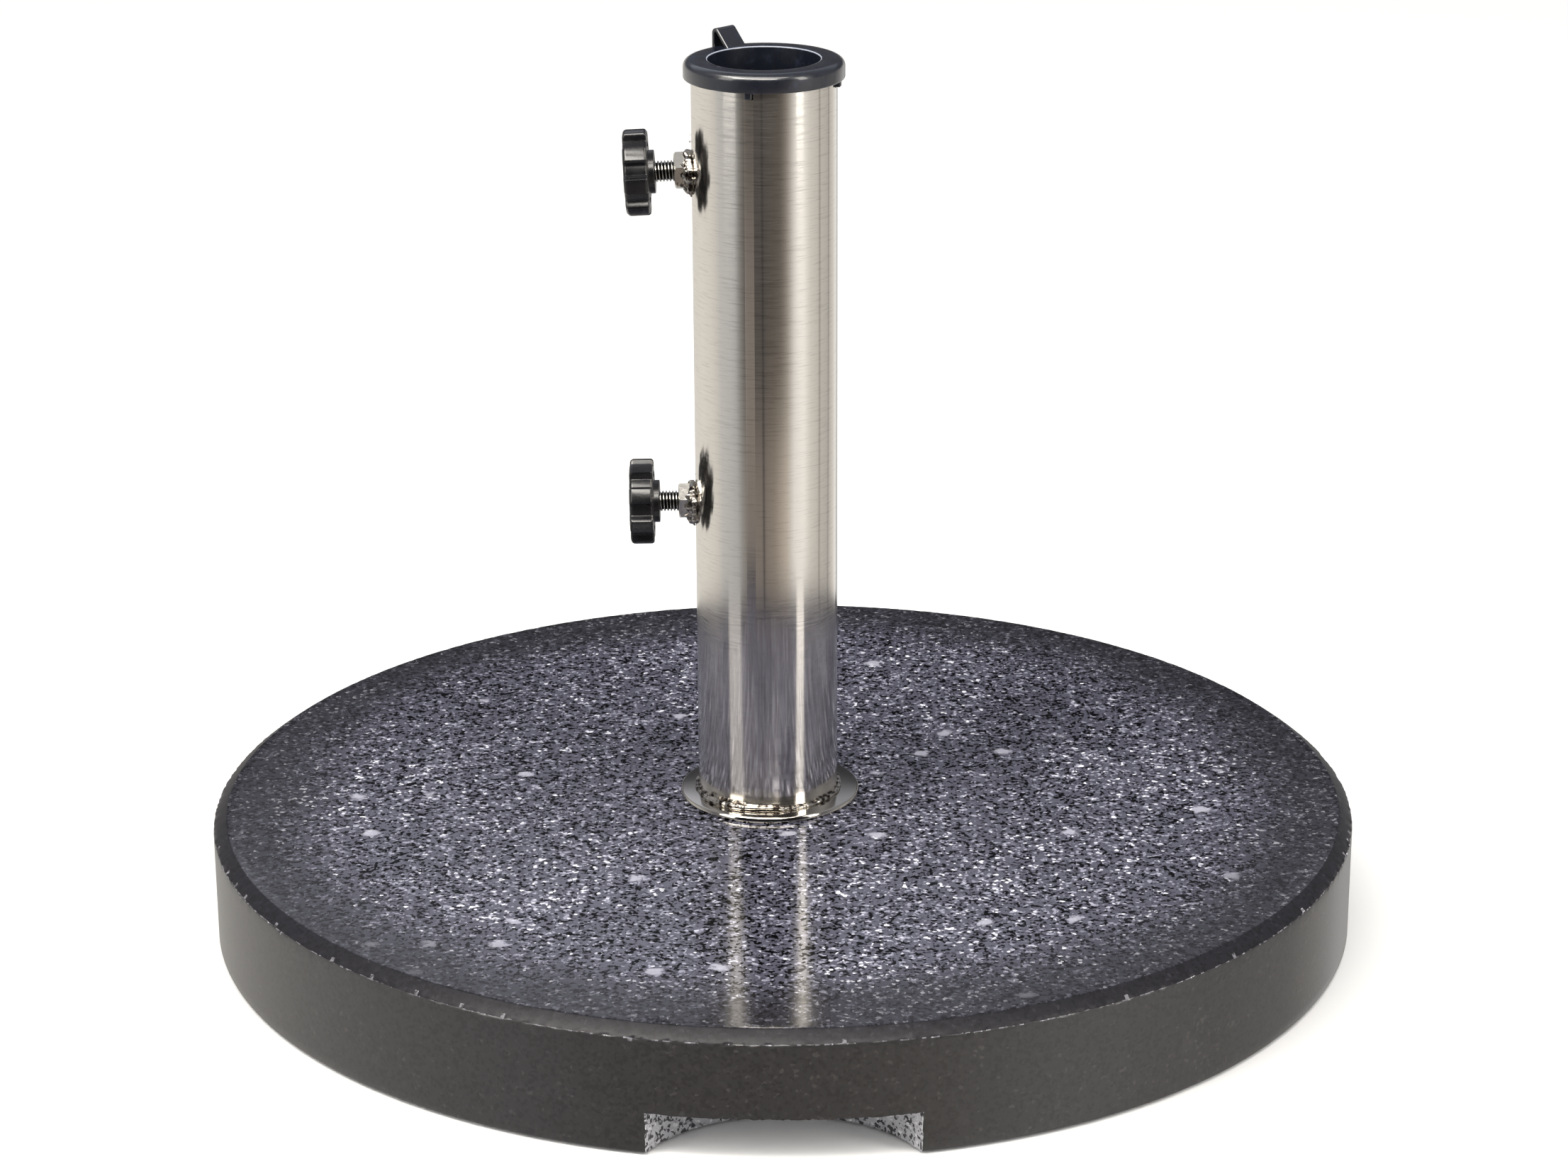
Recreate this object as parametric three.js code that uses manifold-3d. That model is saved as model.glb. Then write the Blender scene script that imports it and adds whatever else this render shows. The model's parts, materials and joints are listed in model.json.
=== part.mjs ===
// Parasol base: a polished granite disc that carries a steel tube, with a plastic reducer
// collar in the tube's mouth and two hand screws that clamp the parasol's pole.
// Units are millimetres, +Z is up. The origin is on the floor, below the disc's centre.

import * as THREE from 'three';
import { mergeVertices } from 'three/addons/utils/BufferGeometryUtils.js';
import Module from 'manifold-3d';

const wasm = await Module();
wasm.setup();

// ---------- Driving dimensions ----------

const GAP = 0.3; // clearance left wherever two pieces meet

const SLAB = {
  radius: 225,
  thickness: 48.4,
  chamferWide: 5.3,
  chamferDeep: 4,
  arris: 1, // small bevel round the underside
  boltHoleRadius: 8,
  counterboreRadius: 18,
  counterboreDepth: 16,
};
const NOTCH = {
  radius: 56, // curve of the notch's wall, seen from below
  centreFromDisc: 246,
  height: 16,
};
const PAD = { radius: 15, thickness: 3, standProud: 1, pitchRadius: 165, count: 4 };

const TUBE = {
  x: -5.8, // the tube stands a little off the disc's centre
  radius: 27.5,
  wall: 1.5,
  screwHoleRadius: 4.7,
};
const PLATE = { radius: 35.5, thickness: 2, offsetX: 0.7, holeRadius: 6.5 };
const FOOT_WELD = { leg: 3.6, throat: 2.2, toe: 0.9, toeReach: 3.24 };

const COLLAR = {
  topZ: 344,
  rimRadius: 30.4,
  rimThickness: 6.9,
  rimRounding: 2,
  boreRadius: 21.2,
  sleeveLength: 28,
};
const KEY = { width: 3, depth: 2.7, reach: 29.4, firstAngle: -102, count: 4 };
const LOOP = {
  angle: 119, // direction from the tube's axis, anticlockwise from +X
  twist: 16, // turn about the loop's own middle, anticlockwise
  width: 9.5,
  thickness: 1.3,
  lean: 135, // where the inner leg leaves the crown, in degrees from level outwards
  footSpread: 1.45, // how much wider than the strap the inner leg's foot is
  rootDepth: 0.5, // how far the inner leg is rooted in the rim
  outerDrop: 4, // how far the outer leg runs down the rim's side
  innerFoot: 22.6, // distance of the inner foot from the tube's axis
  outerFoot: 31.8,
  crownRadius: 1.9,
  height: 6.6,
};

// The anchor bolt is an M12 screwed up through the slab into a nut inside the tube.
const ANCHOR = {
  radius: 6,
  length: 55,
  headFlats: 19,
  headHeight: 7.5,
  washerRadius: 12,
  washerThickness: 2.5,
  springRadius: 10.2,
  springThickness: 2.5,
  springSplit: 1.6,
  nutHeight: 10,
};

// A clamp screw is an M8. Distances run outwards along its axis from the tube's wall.
const SCREW = {
  radius: 4,
  nutFlats: 13,
  nutIn: 0.7, // leaves room for the screw's dip
  nutOut: 6.5,
  bossIn: 13.8,
  bossRadius: 8.2,
  knobIn: 16.1,
  knobOut: 25.2,
  headIn: 18.6,
  headHeight: 5.3,
  noseRadius: 2,
  threadEnd: -4,
  tipEnd: -6.5,
  tipRadius: 3.7,
};
const NUT_TURN = 20; // one corner of each welded nut points this far up at the front
const NUT_WELD = {
  outerRadius: 10.6,
  shoulderRadius: 9,
  crownRadius: 7.6,
  shoulderOut: 1.82,
  out: 2.6,
};
const KNOB = {
  lobes: 8,
  lobeRadius: 16.5,
  valleyRadius: 14,
  lobeHalfAngle: 9.5,
  valleyHalfAngle: 9.5,
  cornerDepth: 0.7, // how far a lobe's rounded corner falls back
  cornerOut: 1, // the corner's two ends, in degrees beyond and within the lobe's half angle
  cornerIn: 2,
  edgeBevel: 1.2,
  capRadius: 8.4,
  capThickness: 1.3,
};
// z is the height where the axis meets the tube's wall; dip is how far the outer end droops;
// turn is how far one lobe stands above the level line at the front.
const CLAMPS = [
  { name: 'upper', z: 301.6, dip: 2.8, turn: 39 },
  { name: 'lower', z: 170.7, dip: 0.8, turn: 25 },
];

const ROUND = { slab: 120, tube: 72, collar: 72, small: 32, screw: 24 };

// ---------- Heights that follow from the sizes above ----------

const SLAB_Z = PAD.standProud;
const SLAB_TOP = SLAB_Z + SLAB.thickness;
const PLATE_Z = SLAB_TOP + GAP;
const PLATE_TOP = PLATE_Z + PLATE.thickness;
const TUBE_Z = PLATE_TOP + GAP;
const RIM_Z = COLLAR.topZ - COLLAR.rimThickness;
const TUBE_TOP = RIM_Z - GAP;
const TUBE_BORE = TUBE.radius - TUBE.wall;
const WASHER_TOP = SLAB_Z + SLAB.counterboreDepth - GAP;
const SPRING_TOP = WASHER_TOP - ANCHOR.washerThickness - GAP;
const HEAD_TOP = SPRING_TOP - ANCHOR.springThickness - GAP;

// ---------- Colours and finishes ----------

const finish = (color, roughness, metalness) =>
  new THREE.MeshStandardMaterial({ color, roughness, metalness });

const MATERIAL = {
  granite: finish(0x3c3b45, 0.25, 0),
  rubber: finish(0x1b1b1c, 0.85, 0),
  brushedSteel: finish(0xb9b5ac, 0.28, 1),
  weldedSteel: finish(0x8f8b84, 0.5, 1),
  zincSteel: finish(0xa9aab0, 0.4, 1),
  collarPlastic: finish(0x1d2029, 0.5, 0),
  knobPlastic: finish(0x131316, 0.3, 0),
  tipPlastic: finish(0xd9d6cc, 0.5, 0),
};

// ---------- Geometry helpers ----------

const rad = THREE.MathUtils.degToRad;

// Turns [radius, height] points about +Z. The outline runs upwards on its outside.
function turned(outline, segments) {
  const points = outline.map(([r, z]) => new THREE.Vector2(r, z));
  return new THREE.LatheGeometry(points, segments).rotateX(Math.PI / 2);
}

// A plain cylinder on +Z between two heights.
function rod(radius, low, high, segments = ROUND.small) {
  return turned([[0, low], [radius, low], [radius, high], [0, high]], segments);
}

// A flat ring or a pipe on +Z between two heights.
function ring(inner, outer, low, high, segments = ROUND.small) {
  const outline = [[inner, low], [outer, low], [outer, high], [inner, high], [inner, low]];
  return turned(outline, segments);
}

// A hexagonal prism on +Z; flats is the width across flats, and one corner points along -Y.
function hexagon(flats, low, high) {
  const radius = flats / Math.sqrt(3);
  const prism = new THREE.CylinderGeometry(radius, radius, high - low, 6);
  return prism.rotateX(Math.PI / 2).translate(0, 0, (low + high) / 2);
}

// A block that reaches out from the Z axis at an angle given in degrees from +X.
function spoke(from, to, width, low, high, angle) {
  const block = new THREE.BoxGeometry(to - from, width, high - low);
  return block.translate((from + to) / 2, 0, (low + high) / 2).rotateZ(rad(angle));
}

// An outline of [x, y] points pushed up +Z between two heights.
function prism(outline, low, high) {
  const shape = new THREE.Shape(outline.map(([x, y]) => new THREE.Vector2(x, y)));
  const options = { depth: high - low, bevelEnabled: false };
  return new THREE.ExtrudeGeometry(shape, options).translate(0, 0, low);
}

function toSolid(geometry) {
  const bare = geometry.index ? geometry.toNonIndexed() : geometry.clone();
  bare.deleteAttribute('normal');
  bare.deleteAttribute('uv');
  const merged = mergeVertices(bare, 1e-4);
  const index = merged.index.array;
  const kept = [];
  for (let i = 0; i < index.length; i += 3) {
    const [a, b, c] = [index[i], index[i + 1], index[i + 2]];
    if (a !== b && b !== c && c !== a) kept.push(a, b, c);
  }
  const vertProperties = new Float32Array(merged.attributes.position.array);
  const mesh = new wasm.Mesh({ numProp: 3, vertProperties, triVerts: new Uint32Array(kept) });
  return new wasm.Manifold(mesh);
}

function toGeometry(solid) {
  const mesh = solid.getMesh();
  const geometry = new THREE.BufferGeometry();
  geometry.setAttribute('position', new THREE.BufferAttribute(mesh.vertProperties, 3));
  geometry.setIndex(new THREE.BufferAttribute(mesh.triVerts, 1));
  geometry.computeVertexNormals();
  return geometry;
}

function join(first, ...others) {
  return toGeometry(others.reduce((sum, part) => sum.add(toSolid(part)), toSolid(first)));
}

function cut(body, ...tools) {
  return toGeometry(tools.reduce((left, tool) => left.subtract(toSolid(tool)), toSolid(body)));
}

function piece(name, geometry, material) {
  const mesh = new THREE.Mesh(geometry, material);
  mesh.name = name;
  return mesh;
}

// ---------- Stone disc and its pads ----------

function padPlaces() {
  const step = (2 * Math.PI) / PAD.count;
  return Array.from({ length: PAD.count }, (_, i) => {
    const angle = (i + 0.5) * step;
    return [PAD.pitchRadius * Math.cos(angle), PAD.pitchRadius * Math.sin(angle)];
  });
}

function slabGeometry() {
  const { radius, arris, chamferWide, chamferDeep } = SLAB;
  const disc = turned([
    [0, SLAB_Z],
    [radius - arris, SLAB_Z],
    [radius, SLAB_Z + arris],
    [radius, SLAB_TOP - chamferDeep],
    [radius - chamferWide, SLAB_TOP],
    [0, SLAB_TOP],
  ], ROUND.slab);
  const below = SLAB_Z - 1;
  const boltHole = rod(SLAB.boltHoleRadius, below, SLAB_TOP + 1).translate(TUBE.x, 0, 0);
  const counterbore = rod(SLAB.counterboreRadius, below, SLAB_Z + SLAB.counterboreDepth);
  counterbore.translate(TUBE.x, 0, 0);
  const notches = [-1, 1].map((side) =>
    rod(NOTCH.radius, below, SLAB_Z + NOTCH.height, ROUND.tube)
      .translate(0, side * NOTCH.centreFromDisc, 0));
  const padSeats = padPlaces().map(([x, y]) =>
    rod(PAD.radius + GAP, below, PAD.thickness + GAP).translate(x, y, 0));
  return cut(disc, boltHole, counterbore, ...notches, ...padSeats);
}

function buildStone() {
  const stone = new THREE.Group();
  stone.add(piece('granite_slab', slabGeometry(), MATERIAL.granite));
  padPlaces().forEach(([x, y], i) => {
    const pad = piece(`floor_pad_${i + 1}`, rod(PAD.radius, 0, PAD.thickness), MATERIAL.rubber);
    pad.position.set(x, y, 0);
    stone.add(pad);
  });
  return stone;
}

// ---------- Anchor bolt, plate and tube ----------

function springWasherGeometry() {
  const low = SPRING_TOP - ANCHOR.springThickness;
  const coil = ring(ANCHOR.radius + GAP, ANCHOR.springRadius, low, SPRING_TOP);
  return cut(coil, spoke(0, ANCHOR.washerRadius, ANCHOR.springSplit, low - 1, SPRING_TOP + 1, 0));
}

function buildAnchor() {
  const { radius, length, headFlats, headHeight, nutHeight } = ANCHOR;
  const anchor = new THREE.Group();
  const bolt = join(
    hexagon(headFlats, HEAD_TOP - headHeight, HEAD_TOP),
    rod(radius, HEAD_TOP - 1, HEAD_TOP + length),
  );
  anchor.add(piece('anchor_bolt', bolt, MATERIAL.zincSteel));
  const washerLow = WASHER_TOP - ANCHOR.washerThickness;
  const washer = ring(radius + GAP, ANCHOR.washerRadius, washerLow, WASHER_TOP);
  anchor.add(piece('anchor_washer', washer, MATERIAL.zincSteel));
  anchor.add(piece('anchor_spring_washer', springWasherGeometry(), MATERIAL.zincSteel));
  const nut = cut(
    hexagon(headFlats, TUBE_Z, TUBE_Z + nutHeight),
    rod(radius + GAP, TUBE_Z - 1, TUBE_Z + nutHeight + 1),
  );
  anchor.add(piece('anchor_nut', nut, MATERIAL.zincSteel));
  return anchor;
}

function tubeGeometry() {
  const pipe = ring(TUBE_BORE, TUBE.radius, TUBE_Z, TUBE_TOP, ROUND.tube);
  const screwHoles = CLAMPS.map(({ z }) =>
    rod(TUBE.screwHoleRadius, 0, TUBE.radius + 1, ROUND.screw)
      .rotateY(-Math.PI / 2).translate(0, 0, z));
  const keySlots = keyAngles().map((angle) =>
    spoke(TUBE_BORE - 2, TUBE.radius + 2, KEY.width + 2 * GAP,
      TUBE_TOP - KEY.depth, TUBE_TOP + 1, angle));
  return cut(pipe, ...screwHoles, ...keySlots);
}

function footWeldGeometry() {
  const inner = TUBE.radius + GAP;
  const { leg, throat, toe, toeReach } = FOOT_WELD;
  const low = TUBE_Z;
  return turned([
    [inner, low],
    [inner + leg, low],
    [inner + toeReach, low + toe],
    [inner + throat, low + throat],
    [inner + toe, low + toeReach],
    [inner, low + leg],
    [inner, low],
  ], ROUND.tube);
}

function buildMast() {
  const mast = new THREE.Group();
  mast.position.x = TUBE.x;
  const plateCentre = -PLATE.offsetX;
  const plate = cut(
    rod(PLATE.radius, PLATE_Z, PLATE_TOP, ROUND.tube),
    rod(PLATE.holeRadius, PLATE_Z - 1, PLATE_TOP + 1).translate(plateCentre, 0, 0),
  ).translate(PLATE.offsetX, 0, 0);
  mast.add(piece('base_plate', plate, MATERIAL.brushedSteel));
  mast.add(piece('tube_foot_weld', footWeldGeometry(), MATERIAL.weldedSteel));
  mast.add(piece('tube_sleeve', tubeGeometry(), MATERIAL.brushedSteel));
  mast.add(buildAnchor(), buildCollar(), ...CLAMPS.map(buildClamp));
  return mast;
}

// ---------- Reducer collar ----------

function keyAngles() {
  return Array.from({ length: KEY.count }, (_, i) => KEY.firstAngle + (i * 360) / KEY.count);
}

// The pull loop is a strap that leaves the rim's top, bends over and lands on the rim's side.
function pullLoopGeometry() {
  const { innerFoot, outerFoot, crownRadius, height, thickness, width, lean } = LOOP;
  const top = COLLAR.topZ + height;
  const crownX = outerFoot - crownRadius;
  const crownZ = top - crownRadius;
  const arc = (radius, from, to, steps) => Array.from({ length: steps + 1 }, (_, i) => {
    const a = rad(from + ((to - from) * i) / steps);
    return [crownX + radius * Math.cos(a), crownZ + radius * Math.sin(a)];
  });
  const inside = crownRadius - thickness;
  const rootZ = COLLAR.topZ - LOOP.rootDepth;
  const outerEnd = COLLAR.topZ - LOOP.outerDrop;
  const middle = (innerFoot + outerFoot) / 2;
  const outline = [
    ...arc(crownRadius, 0, lean, 6),
    [innerFoot, rootZ],
    [innerFoot + thickness * LOOP.footSpread, rootZ],
    ...arc(inside, lean, 0, 4),
    [outerFoot - thickness, outerEnd],
    [outerFoot, outerEnd],
  ];
  return prism(outline, -width / 2, width / 2)
    .rotateX(Math.PI / 2)
    .translate(-middle, 0, 0)
    .rotateZ(rad(LOOP.twist))
    .translate(middle, 0, 0)
    .rotateZ(rad(LOOP.angle));
}

function buildCollar() {
  const { boreRadius, rimRadius, rimRounding, sleeveLength, topZ } = COLLAR;
  const sleeveRadius = TUBE_BORE - GAP;
  const sleeveLow = RIM_Z - sleeveLength;
  const corner = (degrees) => [
    rimRadius - rimRounding + rimRounding * Math.cos(rad(degrees)),
    topZ - rimRounding + rimRounding * Math.sin(rad(degrees)),
  ];
  const body = turned([
    [boreRadius, sleeveLow],
    [sleeveRadius, sleeveLow],
    [sleeveRadius, RIM_Z],
    [rimRadius, RIM_Z],
    corner(0),
    corner(30),
    corner(60),
    corner(90),
    [boreRadius, topZ],
    [boreRadius, sleeveLow],
  ], ROUND.collar);
  const keys = keyAngles().map((angle) =>
    spoke(sleeveRadius - 1, KEY.reach, KEY.width, RIM_Z - KEY.depth + GAP, RIM_Z + 1, angle));
  const collar = join(body, pullLoopGeometry(), ...keys);
  return piece('reducer_collar', collar, MATERIAL.collarPlastic);
}

// ---------- Clamp screws ----------

function nutWeldGeometry({ dip }) {
  const bead = turned([
    [0, -TUBE.radius],
    [NUT_WELD.outerRadius, -TUBE.radius],
    [NUT_WELD.outerRadius, 0],
    [NUT_WELD.shoulderRadius, NUT_WELD.shoulderOut],
    [NUT_WELD.crownRadius, NUT_WELD.out],
    [0, NUT_WELD.out],
  ], ROUND.small);
  const reach = NUT_WELD.outerRadius + 10;
  const tube = rod(TUBE.radius + GAP, -reach, reach, ROUND.tube);
  tube.translate(TUBE.radius, 0, 0).rotateY(Math.PI / 2 + rad(dip));
  const nut = hexagon(SCREW.nutFlats + 2 * GAP, -TUBE.radius, SCREW.nutOut);
  return cut(bead, tube, nut.rotateZ(rad(NUT_TURN)));
}

function knobOutline() {
  const { lobes, lobeRadius, valleyRadius, lobeHalfAngle, valleyHalfAngle } = KNOB;
  const cornerRadius = lobeRadius - KNOB.cornerDepth;
  const cornerStart = lobeHalfAngle + KNOB.cornerOut;
  const cornerEnd = lobeHalfAngle - KNOB.cornerIn;
  const pitch = 360 / lobes;
  const corners = [
    [valleyRadius, valleyHalfAngle - pitch / 2],
    [cornerRadius, -cornerStart],
    [lobeRadius, -cornerEnd],
    [lobeRadius, cornerEnd],
    [cornerRadius, cornerStart],
    [valleyRadius, pitch / 2 - valleyHalfAngle],
  ];
  const outline = [];
  for (let lobe = 0; lobe < lobes; lobe += 1) {
    for (const [radius, angle] of corners) {
      const a = rad(lobe * pitch + angle);
      outline.push([radius * Math.cos(a), radius * Math.sin(a)]);
    }
  }
  return outline;
}

function knobGeometry() {
  const { knobIn, knobOut, bossIn, bossRadius, headIn, headHeight, nutFlats } = SCREW;
  const star = prism(knobOutline(), knobIn, knobOut);
  // A shallow double cone trims the lobes' outer corners.
  const { lobeRadius, edgeBevel } = KNOB;
  const envelope = turned([
    [0, knobIn],
    [lobeRadius - edgeBevel, knobIn],
    [lobeRadius, knobIn + edgeBevel],
    [lobeRadius, knobOut - edgeBevel],
    [lobeRadius - edgeBevel, knobOut],
    [0, knobOut],
  ], ROUND.tube);
  const trimmed = toGeometry(toSolid(star).intersect(toSolid(envelope)));
  const boss = rod(bossRadius, bossIn, knobIn + 1);
  const headSocket = hexagon(nutFlats + 2 * GAP, headIn - GAP, headIn + headHeight + GAP);
  const capSeat = rod(KNOB.capRadius + GAP, knobOut - KNOB.capThickness - GAP, knobOut + 1);
  const shankHole = rod(SCREW.radius + GAP, bossIn - 1, headIn + 1, ROUND.screw);
  return cut(join(trimmed, boss), headSocket, capSeat, shankHole);
}

function boltGeometry() {
  const { radius, noseRadius, threadEnd, headIn, headHeight, nutFlats } = SCREW;
  const noseEnd = threadEnd - 1.6;
  const shank = turned([
    [0, noseEnd],
    [noseRadius, noseEnd],
    [noseRadius, threadEnd],
    [radius - 0.8, threadEnd],
    [radius, threadEnd + 0.8],
    [radius, headIn + 1],
    [0, headIn + 1],
  ], ROUND.screw);
  return join(shank, hexagon(nutFlats, headIn, headIn + headHeight));
}

function tipGeometry() {
  const { tipEnd, tipRadius, threadEnd, noseRadius } = SCREW;
  const cup = turned([
    [0, tipEnd],
    [tipRadius - 0.5, tipEnd],
    [tipRadius, tipEnd + 0.5],
    [tipRadius, threadEnd - GAP],
    [0, threadEnd - GAP],
  ], ROUND.screw);
  return cut(cup, rod(noseRadius + GAP, threadEnd - 1.6 - GAP, threadEnd + 1, ROUND.screw));
}

function nutGeometry() {
  const { nutFlats, nutIn, nutOut, radius } = SCREW;
  const body = hexagon(nutFlats, nutIn, nutOut);
  return cut(body, rod(radius + GAP, -1, nutOut + 1, ROUND.screw)).rotateZ(rad(NUT_TURN));
}

// Each clamp is built on +Z, then its group lays that axis along -X. In the group, +X is up.
function buildClamp(clamp) {
  const named = (part) => `${clamp.name}_${part}`;
  const group = new THREE.Group();
  group.position.set(-TUBE.radius, 0, clamp.z);
  group.rotation.y = -Math.PI / 2 - rad(clamp.dip);
  const knob = piece(named('star_knob'), knobGeometry(), MATERIAL.knobPlastic);
  knob.rotation.z = rad(clamp.turn - 90);
  const bolt = piece(named('clamp_bolt'), boltGeometry(), MATERIAL.zincSteel);
  bolt.rotation.z = knob.rotation.z;
  const capLow = SCREW.knobOut - KNOB.capThickness;
  const cap = piece(named('knob_cap'), rod(KNOB.capRadius, capLow, SCREW.knobOut),
    MATERIAL.knobPlastic);
  group.add(
    piece(named('clamp_nut'), nutGeometry(), MATERIAL.weldedSteel),
    piece(named('nut_weld'), nutWeldGeometry(clamp), MATERIAL.weldedSteel),
    bolt,
    knob,
    cap,
    piece(named('pressure_tip'), tipGeometry(), MATERIAL.tipPlastic),
  );
  return group;
}

const parasolBase = new THREE.Group();
parasolBase.add(buildStone(), buildMast());

export default parasolBase;
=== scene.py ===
"""Parasol base: a polished granite disc, a brushed tube with a plastic collar, two hand screws.

Every sub-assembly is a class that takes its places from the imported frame, builds its meshes and
dresses them. Lengths in the fields are millimetres unless a name ends in _m.
"""

from __future__ import annotations

import json
import logging
import math
from dataclasses import dataclass
from enum import Enum
from typing import Iterable, Sequence

import bpy
from mathutils import Matrix, Vector

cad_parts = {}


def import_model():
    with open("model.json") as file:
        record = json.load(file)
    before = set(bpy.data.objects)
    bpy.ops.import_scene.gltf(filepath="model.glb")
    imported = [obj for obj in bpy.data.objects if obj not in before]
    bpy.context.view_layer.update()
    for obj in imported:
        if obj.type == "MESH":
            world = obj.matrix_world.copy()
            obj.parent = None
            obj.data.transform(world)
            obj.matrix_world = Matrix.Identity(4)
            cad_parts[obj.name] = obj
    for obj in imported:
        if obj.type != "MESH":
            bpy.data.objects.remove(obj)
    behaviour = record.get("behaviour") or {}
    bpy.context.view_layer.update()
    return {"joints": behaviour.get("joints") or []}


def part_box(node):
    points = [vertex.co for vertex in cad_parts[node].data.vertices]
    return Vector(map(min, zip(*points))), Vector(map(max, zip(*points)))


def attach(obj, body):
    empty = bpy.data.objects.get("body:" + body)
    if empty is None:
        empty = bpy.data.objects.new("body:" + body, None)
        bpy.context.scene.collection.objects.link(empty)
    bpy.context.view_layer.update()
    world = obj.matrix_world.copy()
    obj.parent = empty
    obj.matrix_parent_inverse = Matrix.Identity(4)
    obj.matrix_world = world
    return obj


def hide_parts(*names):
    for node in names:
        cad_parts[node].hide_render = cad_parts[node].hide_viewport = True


LOG = logging.getLogger("parasol_base")
MM = 0.001
WRAP_UV = "Wrap"  # runs once round a turned piece in U and along its outline in V
ROOT_ATTRIBUTE = "root"  # 1 at the bottom of a screw thread, 0 at its crest
RELIEF_ATTRIBUTE = "relief"  # how deep the stone may break, in metres
BARE_ATTRIBUTE = "bare"  # true on the faces where broken stone shows

Point2 = tuple[float, float]
Ring = list[Vector]
Links = dict[str | int, object] | Sequence[object]  # what goes into a node's inputs


# ---------------------------------------------------------------- small helpers


def linear(hex_colour: str) -> tuple[float, float, float, float]:
    """Turns an sRGB hex colour into linear light.

    Args:
        hex_colour: six hex digits, without a leading sign.
    Returns:
        Linear red, green and blue, and an alpha of 1.
    """
    channels = [int(hex_colour[i : i + 2], 16) / 255 for i in (0, 2, 4)]
    r, g, b = (c / 12.92 if c <= 0.04045 else ((c + 0.055) / 1.055) ** 2.4 for c in channels)
    return r, g, b, 1.0


class Step(Enum):
    """Node types with the one setting that makes a plain step of them."""

    ABSOLUTE = ("ShaderNodeMath", {"operation": "ABSOLUTE"})
    ADD = ("ShaderNodeMath", {"operation": "ADD"})
    ARCTAN2 = ("ShaderNodeMath", {"operation": "ARCTAN2"})
    COSINE = ("ShaderNodeMath", {"operation": "COSINE"})
    DIVIDE = ("ShaderNodeMath", {"operation": "DIVIDE"})
    FRACT = ("ShaderNodeMath", {"operation": "FRACT"})
    GREATER_THAN = ("ShaderNodeMath", {"operation": "GREATER_THAN"})
    LESS_THAN = ("ShaderNodeMath", {"operation": "LESS_THAN"})
    MAXIMUM = ("ShaderNodeMath", {"operation": "MAXIMUM"})
    MULTIPLY = ("ShaderNodeMath", {"operation": "MULTIPLY"})
    MULTIPLY_ADD = ("ShaderNodeMath", {"operation": "MULTIPLY_ADD"})
    POWER = ("ShaderNodeMath", {"operation": "POWER"})
    SINE = ("ShaderNodeMath", {"operation": "SINE"})
    SQRT = ("ShaderNodeMath", {"operation": "SQRT"})
    SUBTRACT = ("ShaderNodeMath", {"operation": "SUBTRACT"})
    # A smooth 0 to 1 rise of the first value between the second and the third.
    SMOOTH = ("ShaderNodeMapRange", {"interpolation_type": "SMOOTHSTEP"})
    # Input 0 is the factor, 6 the colour it starts from and 7 the colour it ends on.
    MIX = ("ShaderNodeMix", {"data_type": "RGBA"})


def add_node(
    tree: bpy.types.NodeTree,
    kind: str | Step,
    links: Links = (),
    stops: Sequence[tuple[float, str]] = (),
    **settings: object,
) -> bpy.types.Node:
    """Adds a node with its settings and links.

    Args:
        tree: the tree that the node goes in.
        kind: the node's type name, or a ready step.
        links: what goes into each input, in order or by name or index: a socket, a node, which
            gives its first enabled output, or a plain value.
        stops: positions and hex colours, for a node that has a colour ramp.
        settings: the node's own properties.
    Returns:
        The new node.
    """
    if isinstance(kind, Step):
        kind, fixed = kind.value
        settings = {**fixed, **settings}
    node = tree.nodes.new(kind)
    for name, value in settings.items():
        setattr(node, name, value)
    for key, value in links.items() if isinstance(links, dict) else enumerate(links):
        if isinstance(value, bpy.types.Node):
            value = next(output for output in value.outputs if output.enabled)
        if isinstance(value, bpy.types.NodeSocket):
            tree.links.new(value, node.inputs[key])
        else:
            node.inputs[key].default_value = value
    if stops:
        ramp = node.color_ramp
        while len(ramp.elements) < len(stops):
            ramp.elements.new(1.0)
        for element, (position, colour) in zip(ramp.elements, stops):
            element.position = position
            element.color = linear(colour)
    return node


# ---------------------------------------------------------------- outlines and meshes


def filleted(
    corners: Sequence[tuple[float, float, float]], steps: int = 5, closed: bool = False
) -> list[Point2]:
    """Rounds the corners of an outline.

    Args:
        corners: x, y and the corner's rounding radius; 0 leaves it sharp.
        steps: segments in each rounding.
        closed: whether the outline joins its own start.
    Returns:
        The outline's points.
    """
    points: list[Point2] = []
    count = len(corners)
    for i, (x, y, radius) in enumerate(corners):
        at_end = not closed and i in (0, count - 1)
        here = Vector((x, y))
        if radius <= 0 or at_end:
            points.append((x, y))
            continue
        before = Vector(corners[i - 1][:2]) - here
        after = Vector(corners[(i + 1) % count][:2]) - here
        half = before.angle(after) / 2
        reach = radius / math.tan(half)
        middle = here + (before.normalized() + after.normalized()).normalized() * (
            radius / math.sin(half)
        )
        start = here + before.normalized() * reach - middle
        finish = here + after.normalized() * reach - middle
        sweep = start.angle_signed(finish)
        for k in range(steps + 1):
            a = -sweep * k / steps
            points.append((
                middle.x + start.x * math.cos(a) - start.y * math.sin(a),
                middle.y + start.x * math.sin(a) + start.y * math.cos(a),
            ))
    return points


def circle_ring(radius: float, z: float, count: int) -> Ring:
    """A level ring of points, or one point where the radius is nothing."""
    if radius < 1e-6:
        return [Vector((0, 0, z))]
    turn = 2 * math.pi / count
    return [Vector((radius * math.cos(i * turn), radius * math.sin(i * turn), z))
            for i in range(count)]


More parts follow.
